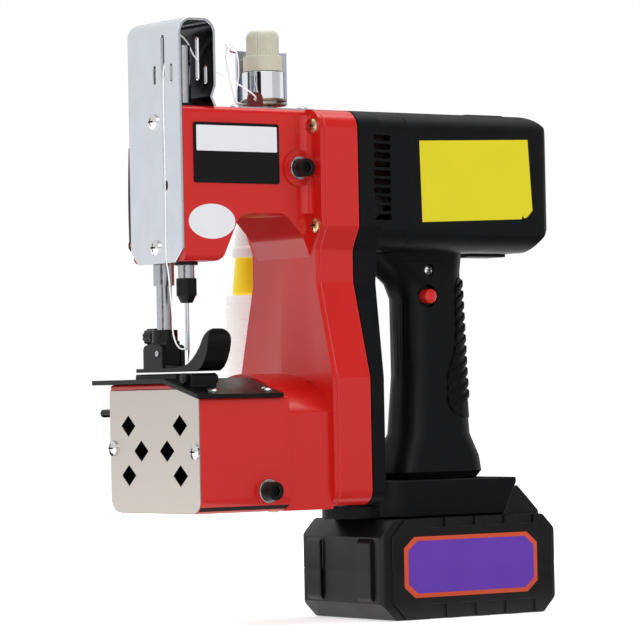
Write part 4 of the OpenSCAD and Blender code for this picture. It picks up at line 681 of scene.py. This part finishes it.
def cross_screw(seat, axis, radius, height, shank_radius, shank_length):
    """A pan head crowned from a grid, with a cross sunk into it, on a plain shank."""
    bm = bmesh.new()
    bmesh.ops.create_grid(bm, x_segments=GRID, y_segments=GRID, size=1.0)
    cell = 2.0 / GRID
    cross = []
    for face in bm.faces:
        spot = face.calc_center_median()
        near, far = sorted((abs(spot.x), abs(spot.y)))
        if near < cell / 2 and far < CROSS_REACH * cell:
            cross.append(face)
    for vert in bm.verts:
        x, y = vert.co.x, vert.co.y
        vert.co.x, vert.co.y = x * math.sqrt(1 - y * y / 2), y * math.sqrt(1 - x * x / 2)
        vert.co.z = CROWN * height / radius * (1 - vert.co.xy.length_squared)
    sunk = bmesh.ops.extrude_face_region(bm, geom=cross)["geom"]
    pit = [v for v in sunk if isinstance(v, bmesh.types.BMVert)]
    bmesh.ops.delete(bm, geom=cross, context="FACES_ONLY")
    # The cross recess faces take the dark colour, painted shade
    for face in {f for v in pit for f in v.link_faces}:
        face.material_index = 1
    bmesh.ops.scale(bm, verts=pit, vec=(CROSS_TAPER, CROSS_TAPER, 1))
    bmesh.ops.translate(bm, verts=pit, vec=(0, 0, -CROSS_DEPTH * height / radius))
    rim = [e for e in bm.edges if e.is_boundary]
    skirt = bmesh.ops.extrude_edge_only(bm, edges=rim)["geom"]
    foot = [v for v in skirt if isinstance(v, bmesh.types.BMVert)]
    bmesh.ops.translate(bm, verts=foot, vec=(0, 0, -(1 - CROWN) * height / radius))
    bmesh.ops.holes_fill(bm, edges=[e for e in bm.edges if e.is_boundary], sides=0)
    bmesh.ops.recalc_face_normals(bm, faces=bm.faces[:])
    bmesh.ops.translate(bm, verts=bm.verts[:], vec=(0, 0, (1 - CROWN) * height / radius))
    bmesh.ops.scale(bm, verts=bm.verts[:], vec=(radius, radius, radius))
    bmesh.ops.create_cone(
        bm, cap_ends=True, segments=SHANK_SIDES, radius1=shank_radius, radius2=shank_radius, depth=shank_length,
        matrix=Matrix.Translation((0, 0, -shank_length / 2)))
    turn = Vector((0, 0, 1)).rotation_difference(axis).to_matrix().to_4x4()
    bmesh.ops.transform(bm, matrix=Matrix.Translation(seat) @ turn, verts=bm.verts[:])
    return bm


def loose_parts(node):
    """The corner points of each separate screw in a CAD node."""
    bm = copy_of(node)
    left = set(bm.verts)
    while left:
        part, front = set(), [left.pop()]
        while front:
            vert = front.pop()
            part.add(vert)
            for edge in vert.link_edges:
                other = edge.other_vert(vert)
                if other in left:
                    left.remove(other)
                    front.append(other)
        yield [v.co.copy() for v in part]
    bm.free()


HEAD_RIM = 0.95
BELOW_HEAD = 0.5


def measure_screw(points, axis):
    """Seat, axis, head radius, head height, shank radius and shank length of a CAD screw."""
    heights = [p.dot(axis) for p in points]
    top, bottom = max(heights), min(heights)
    flat = [p - axis * p.dot(axis) for p in points]
    low = Vector(tuple(min(p[i] for p in flat) for i in range(3)))
    high = Vector(tuple(max(p[i] for p in flat) for i in range(3)))
    centre = (low + high) / 2
    reach = [(p - centre).length for p in flat]
    radius = max(reach)
    seat = min(h for h, r in zip(heights, reach) if r > HEAD_RIM * radius)
    shank = min((r for h, r in zip(heights, reach) if h < seat - BELOW_HEAD * MM), default=radius / 2)
    return centre + axis * seat, axis, radius, top - seat, shank, max(seat - bottom, MM)


# Where the screws of one node sit: the flange above the base, the arm's top and the grip, m
RAMP_TILT = math.atan(0.26)
BASE_TOP = 0.15
ARM_TOP = 0.27
GRIP_FROM = -0.05


def screw_axis(node, points):
    """The way a screw's head faces, by where it sits."""
    middle = sum(points, Vector()) / len(points)
    if node == "cover_screws":
        return Vector((-1, 0, 0))
    if node == "brass_screws":
        return Vector((-1, 0, 0)) if middle.z > BASE_TOP else Vector((0, 0, -1))
    if middle.z > ARM_TOP:
        return Vector((0, 0, 1))
    if middle.x > GRIP_FROM:
        return Vector((0, -1, 0))
    if middle.y < 0:
        return Vector((0, -math.sin(RAMP_TILT), math.cos(RAMP_TILT)))
    return Vector((0, 1, 0))


def make_screws(node, material):
    whole = bmesh.new()
    for points in loose_parts(node):
        one = cross_screw(*measure_screw(points, screw_axis(node, points)))
        mesh = bpy.data.meshes.new("screw")
        one.to_mesh(mesh)
        one.free()
        whole.from_mesh(mesh)
        bpy.data.meshes.remove(mesh)
    put_in_place_of(node, whole, material, recess_painted_shade)


make_screws("cover_screws", zinc_screw)
make_screws("small_screws", zinc_screw)
make_screws("brass_screws", brass_zinc)


# Plates and labels on the near side, all bare, mm
NEAR_SIDE = Matrix(((1, 0, 0, 0), (0, 0, -1, 0), (0, 1, 0, 0), (0, 0, 0, 1)))
PAPER = 0.14
PAPER_RIM = 0.08
RIM_SHARE = 0.6


def flat_piece(name, outline, side, thick, material, body, slot, rim=PAPER_RIM):
    """A thin plate with the given outline in X and Z, lying on a side face at Y = side. Sizes in mm."""
    bm = bmesh.new()
    corners = [bm.verts.new((x * MM, z * MM, 0)) for x, z in outline]
    face = bm.faces.new(corners)
    bm.normal_update()
    if face.normal.z < 0:
        face.normal_flip()
    raised = bmesh.ops.extrude_face_region(bm, geom=[face], use_keep_orig=True)["geom"]
    top = [v for v in raised if isinstance(v, bmesh.types.BMVert)]
    bmesh.ops.translate(bm, verts=top, vec=(0, 0, thick * MM))
    bmesh.ops.recalc_face_normals(bm, faces=bm.faces[:])
    edges = [e for e in bm.edges if all(v in top for v in e.verts)]
    bmesh.ops.bevel(
        bm, geom=edges, offset=min(rim, thick * RIM_SHARE) * MM, offset_type="OFFSET", segments=2, profile=0.5,
        affect="EDGES", clamp_overlap=True, material=-1)
    bmesh.ops.transform(bm, matrix=Matrix.Translation((0, side * MM, 0)) @ NEAR_SIDE, verts=bm.verts[:])
    make_piece(bm, name, body, slot, material)


def rounded(x0, x1, z0, z1, radius, steps=6):
    """A rectangle's outline with round corners."""
    corners = ((x1 - radius, z1 - radius, 0), (x0 + radius, z1 - radius, 90), (x0 + radius, z0 + radius, 180),
               (x1 - radius, z0 + radius, 270))
    turns = [(x, z, math.radians(a + 90 * i / steps)) for x, z, a in corners for i in range(steps + 1)]
    return [(x + radius * math.cos(turn), z + radius * math.sin(turn)) for x, z, turn in turns]


def oval(x, z, half_x, half_z, steps=48):
    """An ellipse's outline."""
    return [(x + half_x * math.cos(2 * math.pi * i / steps), z + half_z * math.sin(2 * math.pi * i / steps))
            for i in range(steps)]


def cut_corners(x0, x1, z0, z1, cut_x, cut_z):
    """A rectangle's outline with its corners cut off."""
    return [(x0 + cut_x, z0), (x1 - cut_x, z0), (x1, z0 + cut_z), (x1, z1 - cut_z), (x1 - cut_x, z1),
            (x0 + cut_x, z1), (x0, z1 - cut_z), (x0, z0 + cut_z)]


ARM_SIDE = -25.1
MOTOR_SIDE = -34.5
CASE_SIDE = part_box("battery_case")[0][1] / MM
PLATE = (-173.7, -118.1, 239.3, 271.8)
PLATE_SPLIT = 256.4
PLATE_THICK = 0.7
PLATE_CORNER = 1.2
PLATE_RIM = 0.4
PLATE_FRAME = 1.6
FIELD_CORNER = 0.6
NOSE_OVAL = (-162.5, 218.7, 15, 9.4)
BATTERY_LABEL = (-48.6, 45.4, 12, 45.6, 7.3, 6)
BATTERY_FIELD = (-45.6, 42.8, 14.4, 43.3, 6.4, 5.2)
# The motor label lies a little askew, with its lower rear corner torn and folded
MOTOR_LABEL = [(-29.2, 264.7), (-28.1, 219.5), (42.6, 222.0), (43.4, 224.2), (44.6, 222.4), (47.0, 223.4),
               (50.6, 227.0), (48.0, 267.1)]
LABEL_FOLD = [(44.8, 222.6), (50.4, 227.2), (46.6, 227.6), (45.4, 225.6)]


def make_nameplate():
    """A bare plate: a black frame, a white upper field and a black lower one."""
    x0, x1, z0, z1 = PLATE
    body = body_of("head_casting")
    flat_piece("nameplate", rounded(x0, x1, z0, z1, PLATE_CORNER), ARM_SIDE, PLATE_THICK, plate_black, body,
               "black_plastic", rim=PLATE_RIM)
    field = rounded(x0 + PLATE_FRAME, x1 - PLATE_FRAME, PLATE_SPLIT, z1 - PLATE_FRAME, FIELD_CORNER)
    flat_piece("nameplate_field", field, ARM_SIDE - PLATE_THICK, PAPER, plate_white, body, "chrome_sheet")


def make_stickers():
    """The oval on the nose, the yellow sheet on the motor and the eight-cornered one on the battery."""
    flat_piece("nose_sticker", oval(*NOSE_OVAL), ARM_SIDE, PAPER, plate_white, body_of("head_casting"), "chrome_sheet")
    shell = body_of("handle_shell_near")
    flat_piece("motor_label", MOTOR_LABEL, MOTOR_SIDE, PAPER, label_yellow, shell, "spool_yellow")
    flat_piece("motor_label_fold", LABEL_FOLD, MOTOR_SIDE - PAPER, 2 * PAPER, label_yellow, shell, "spool_yellow")
    case = body_of("battery_case")
    flat_piece("battery_label", cut_corners(*BATTERY_LABEL), CASE_SIDE, PAPER, label_orange, case, "button_red")
    flat_piece("battery_label_field", cut_corners(*BATTERY_FIELD), CASE_SIDE - PAPER, PAPER, label_purple, case,
               "cell_wrap")


make_nameplate()
make_stickers()


# Thread, mm
SPOOL = Vector((-76.8, 62.0, 0)) * MM
WINDING_LOW, WINDING_HIGH = 97.9, 182.5
STRAND = 0.5
WINDING_R = 15.35
PITCH = 1.8 * STRAND
STRAND_SIDES = 7
TURN_STEPS = 28
CORE_SIDES = 48
LOOP_R, LOOP_Z, LOOP_THICK = 11.55, 185.9, 0.35
LOOP_LEAN = (0.03, 0.02, 1)
LOOP_SIDES = 8
LOOP_STEPS = 48


def wind(bm, reach, height, thick, sides, **spin):
    """A round strand swept about the spool's middle. Sizes in mm."""
    start = Matrix.Translation(SPOOL + Vector((reach, 0, height)) * MM) @ Matrix.Rotation(math.pi / 2, 4, "X")
    ring = bmesh.ops.create_circle(bm, segments=sides, radius=thick * MM, matrix=start)["verts"]
    edges = {e for v in ring for e in v.link_edges}
    bmesh.ops.spin(bm, geom=ring + list(edges), cent=SPOOL, **spin)


def make_winding():
    """One strand laid round the spool in close turns over a plain core, and a loop of it on the spool's nose."""
    bm = bmesh.new()
    core = WINDING_R - STRAND
    rise = (WINDING_HIGH - WINDING_LOW - 2 * STRAND) * MM
    turns = int(rise / (PITCH * MM))
    wind(bm, core, WINDING_LOW + STRAND, STRAND, STRAND_SIDES, axis=(0, 0, 1), dvec=(0, 0, PITCH * MM / TURN_STEPS),
         angle=2 * math.pi * turns, steps=turns * TURN_STEPS)
    bmesh.ops.create_cone(
        bm, cap_ends=True, segments=CORE_SIDES, radius1=core * MM, radius2=core * MM, depth=rise,
        matrix=Matrix.Translation(SPOOL + Vector((0, 0, (WINDING_LOW + WINDING_HIGH) / 2)) * MM))
    wind(bm, LOOP_R, LOOP_Z, LOOP_THICK, LOOP_SIDES, axis=LOOP_LEAN, angle=2 * math.pi, steps=LOOP_STEPS,
         use_merge=True)
    bmesh.ops.recalc_face_normals(bm, faces=bm.faces[:])
    put_in_place_of("thread_winding", bm, thread_white)


THREAD_R = 0.4
THREAD_ROUTE = (
    (-76.8, 62, 224), (-77.4, 61.2, 229), (-99.4, 38.2, 274.6), (-120.6, 20, 317), (-120.4, 16, 318),
    (-120.9, 10.5, 315.6), (-122.5, 5.4, 300.6), (-124.6, 5, 290.65), (-124.4, 4.4, 286.05), (-122, 3.6, 285.25),
    (-117, 3.4, 285.25), (-112, 4.6, 285.25), (-107, 2.4, 285.25), (-104.8, -2.6, 285.25), (-107, -7.8, 285.25),
    (-112, -10.4, 285.25), (-119, -11.6, 285.25), (-122.4, -11.4, 285.45), (-124.5, -11.8, 286.2),
    (-125, -13.8, 286.5), (-125.3, -14.8, 286.7), (-128, -16.2, 288.5), (-146, -13, 298.6), (-160, -9.5, 307),
    (-168, -9.5, 318), (-172, -9.5, 319.5), (-176.5, -9.5, 313), (-181.3, -9.5, 301), (-181.75, -9.5, 296),
    (-181.75, -9.5, 248), (-181.75, -9.5, 196.4), (-181.35, -9.8, 194), (-179.6, -10.6, 170),
    (-178.6, -11, 156), (-175.5, -11.8, 151), (-172.6, -12, 150.8),
)


def make_needle_thread():
    """The thread from the spool over its guides to the needle's eye, one smooth run."""
    data = bpy.data.curves.new("thread_run", "CURVE")
    data.dimensions = "3D"
    data.bevel_depth = THREAD_R * MM
    data.bevel_resolution = 3
    data.resolution_u = 5
    data.use_fill_caps = True
    run = data.splines.new("BEZIER")
    run.bezier_points.add(len(THREAD_ROUTE) - 1)
    for knot, place in zip(run.bezier_points, THREAD_ROUTE):
        knot.co = Vector(place) * MM
        knot.handle_left_type = knot.handle_right_type = "AUTO"
    strand = bpy.data.objects.new("thread_run", data)
    scene.collection.objects.link(strand)
    mesh = bpy.data.meshes.new_from_object(strand.evaluated_get(bpy.context.evaluated_depsgraph_get()))
    bpy.data.objects.remove(strand)
    bm = bmesh.new()
    bm.from_mesh(mesh)
    bpy.data.meshes.remove(mesh)
    bmesh.ops.remove_doubles(bm, verts=bm.verts[:], dist=WELD)
    bmesh.ops.recalc_face_normals(bm, faces=bm.faces[:])
    put_in_place_of("needle_thread", bm, thread_white)


make_winding()
make_needle_thread()


# Stage
FLOOR_R = 9.0
FLOOR_SIDES = 64
FLOOR_DROP = 0.3 * MM
FLOOR_WHITE = 0.55
SHADOW_FROM, SHADOW_TO = 0.1, 0.45


def seen_directly(tree):
    """1 for rays from the camera, from mirrors and through glass, 0 for the light that falls on things."""
    rays = tree.nodes.new("ShaderNodeLightPath")
    both = tree.nodes.new("ShaderNodeMath")
    both.operation = "ADD"
    tree.links.new(rays.outputs["Is Camera Ray"], both.inputs[0])
    tree.links.new(rays.outputs["Is Glossy Ray"], both.inputs[1])
    all_three = tree.nodes.new("ShaderNodeMath")
    all_three.operation = "ADD"
    all_three.use_clamp = True
    tree.links.new(both.outputs["Value"], all_three.inputs[0])
    tree.links.new(rays.outputs["Is Transmission Ray"], all_three.inputs[1])
    return all_three.outputs["Value"]


def make_floor():
    """A white floor that keeps the shadow, and is plain white farther off."""
    bm = bmesh.new()
    bmesh.ops.create_circle(bm, cap_ends=True, segments=FLOOR_SIDES, radius=FLOOR_R)
    bmesh.ops.translate(bm, verts=bm.verts[:], vec=(0, 0, -FLOOR_DROP))
    mesh = bpy.data.meshes.new("floor")
    bm.to_mesh(mesh)
    bm.free()
    floor = bpy.data.objects.new("floor", mesh)
    scene.collection.objects.link(floor)
    material = finish("floor_paper", (0.92, 0.92, 0.92), 0.95, mottle=0.002, sockets={"Specular IOR Level": 0.0})
    tree = material.node_tree
    shader = tree.nodes["Principled BSDF"]
    shader.inputs["Emission Color"].default_value = (1, 1, 1, 1)
    spot = tree.nodes.new("ShaderNodeTexCoord")
    away = tree.nodes.new("ShaderNodeVectorMath")
    away.operation = "LENGTH"
    tree.links.new(spot.outputs["Object"], away.inputs[0])
    fade = tree.nodes.new("ShaderNodeMapRange")
    fade.interpolation_type = "SMOOTHSTEP"
    fade.inputs["From Min"].default_value = SHADOW_FROM
    fade.inputs["From Max"].default_value = SHADOW_TO
    fade.inputs["To Min"].default_value = FLOOR_WHITE
    tree.links.new(away.outputs["Value"], fade.inputs["Value"])
    lift = tree.nodes.new("ShaderNodeMath")
    lift.operation = "MULTIPLY"
    tree.links.new(fade.outputs["Result"], lift.inputs[1])
    tree.links.new(seen_directly(tree), lift.inputs[0])
    tree.links.new(lift.outputs["Value"], shader.inputs["Emission Strength"])
    mesh.materials.append(material)


SURROUND_LIGHT = 0.36


def make_world():
    """White to the camera and in reflections, softer as light."""
    world = bpy.data.worlds.new("studio")
    scene.world = world
    world.use_nodes = True
    tree = world.node_tree
    sky = tree.nodes["Background"]
    sky.inputs["Color"].default_value = (1, 1, 1, 1)
    level = tree.nodes.new("ShaderNodeMapRange")
    level.inputs["To Min"].default_value = SURROUND_LIGHT
    level.inputs["To Max"].default_value = 1.0
    tree.links.new(seen_directly(tree), level.inputs["Value"])
    tree.links.new(level.outputs["Result"], sky.inputs["Strength"])


def aimed(place, aim):
    """The turn that points something at the aim."""
    return (Vector(aim) - Vector(place)).to_track_quat("-Z", "Y")


def softbox(name, place, aim, size, watts, mirrored=True):
    """A rectangular studio lamp, mirrored in bright metal or not."""
    data = bpy.data.lights.new(name, "AREA")
    data.shape = "RECTANGLE"
    data.size, data.size_y = size
    data.energy = watts
    lamp = bpy.data.objects.new(name, data)
    scene.collection.objects.link(lamp)
    lamp.visible_glossy = mirrored
    lamp.location = place
    lamp.rotation_mode = "QUATERNION"
    lamp.rotation_quaternion = aimed(place, aim)


def card_finish(name, level):
    """A matt card that gives off an even grey."""
    material = finish(name, (0.01, 0.01, 0.01), 0.9, sockets={"Specular IOR Level": 0.0})
    shader = material.node_tree.nodes["Principled BSDF"]
    shader.inputs["Emission Color"].default_value = (1, 1, 1, 1)
    shader.inputs["Emission Strength"].default_value = level
    return material


def dark_card(name, place, aim, size, level=0.0):
    """A dark card that only shows in reflections, so that bright surfaces have something dark to mirror."""
    bm = bmesh.new()
    bmesh.ops.create_grid(bm, x_segments=1, y_segments=1, size=0.5)
    bmesh.ops.scale(bm, verts=bm.verts[:], vec=(size[0], size[1], 1))
    turn = aimed(place, aim).to_matrix().to_4x4()
    bmesh.ops.transform(bm, matrix=Matrix.Translation(place) @ turn, verts=bm.verts[:])
    mesh = bpy.data.meshes.new(name)
    bm.to_mesh(mesh)
    bm.free()
    mesh.materials.append(card_finish(name + "_grey", level))
    card = bpy.data.objects.new(name, mesh)
    scene.collection.objects.link(card)
    card.visible_camera = False
    card.visible_diffuse = False
    card.visible_shadow = False
    card.visible_transmission = False


MIDDLE = (-0.06, 0, 0.17)
make_floor()
make_world()
softbox("key", (-1.3, -1.3, 1.2), MIDDLE, (1.1, 1.1), 14)
softbox("overhead", (0.1, 0.1, 1.5), MIDDLE, (1.4, 1.0), 12)
softbox("side", (0.85, -0.8, 0.8), MIDDLE, (0.5, 0.5), 3.5, mirrored=False)
softbox("rear", (-0.9, 1.3, 0.7), MIDDLE, (1.0, 1.0), 4, mirrored=False)
dark_card("card_left", (-1.37, -0.73, 0.45), MIDDLE, (0.7, 1.3))
dark_card("card_right", (0.88, -0.98, 1.02), MIDDLE, (1.4, 1.0))
dark_card("card_low", (0.9, -1.1, 0.15), (-0.06, 0, 0.15), (1.5, 0.75), level=0.65)
dark_card("card_back", (1.2, 1.2, 0.4), MIDDLE, (1.2, 1.6))
# A dark sheet on the floor behind, seen only in reflections: painted shade for the shadowed floor there
dark_card("floor_behind", (-0.05, 0.36, 0.001), (-0.05, 0.36, 1), (0.5, 0.5))
dark_card("floor_before", (0.45, -0.62, 0.001), (0.45, -0.62, 1), (1.1, 1.1), level=0.1)
scene.view_settings.view_transform = "Standard"
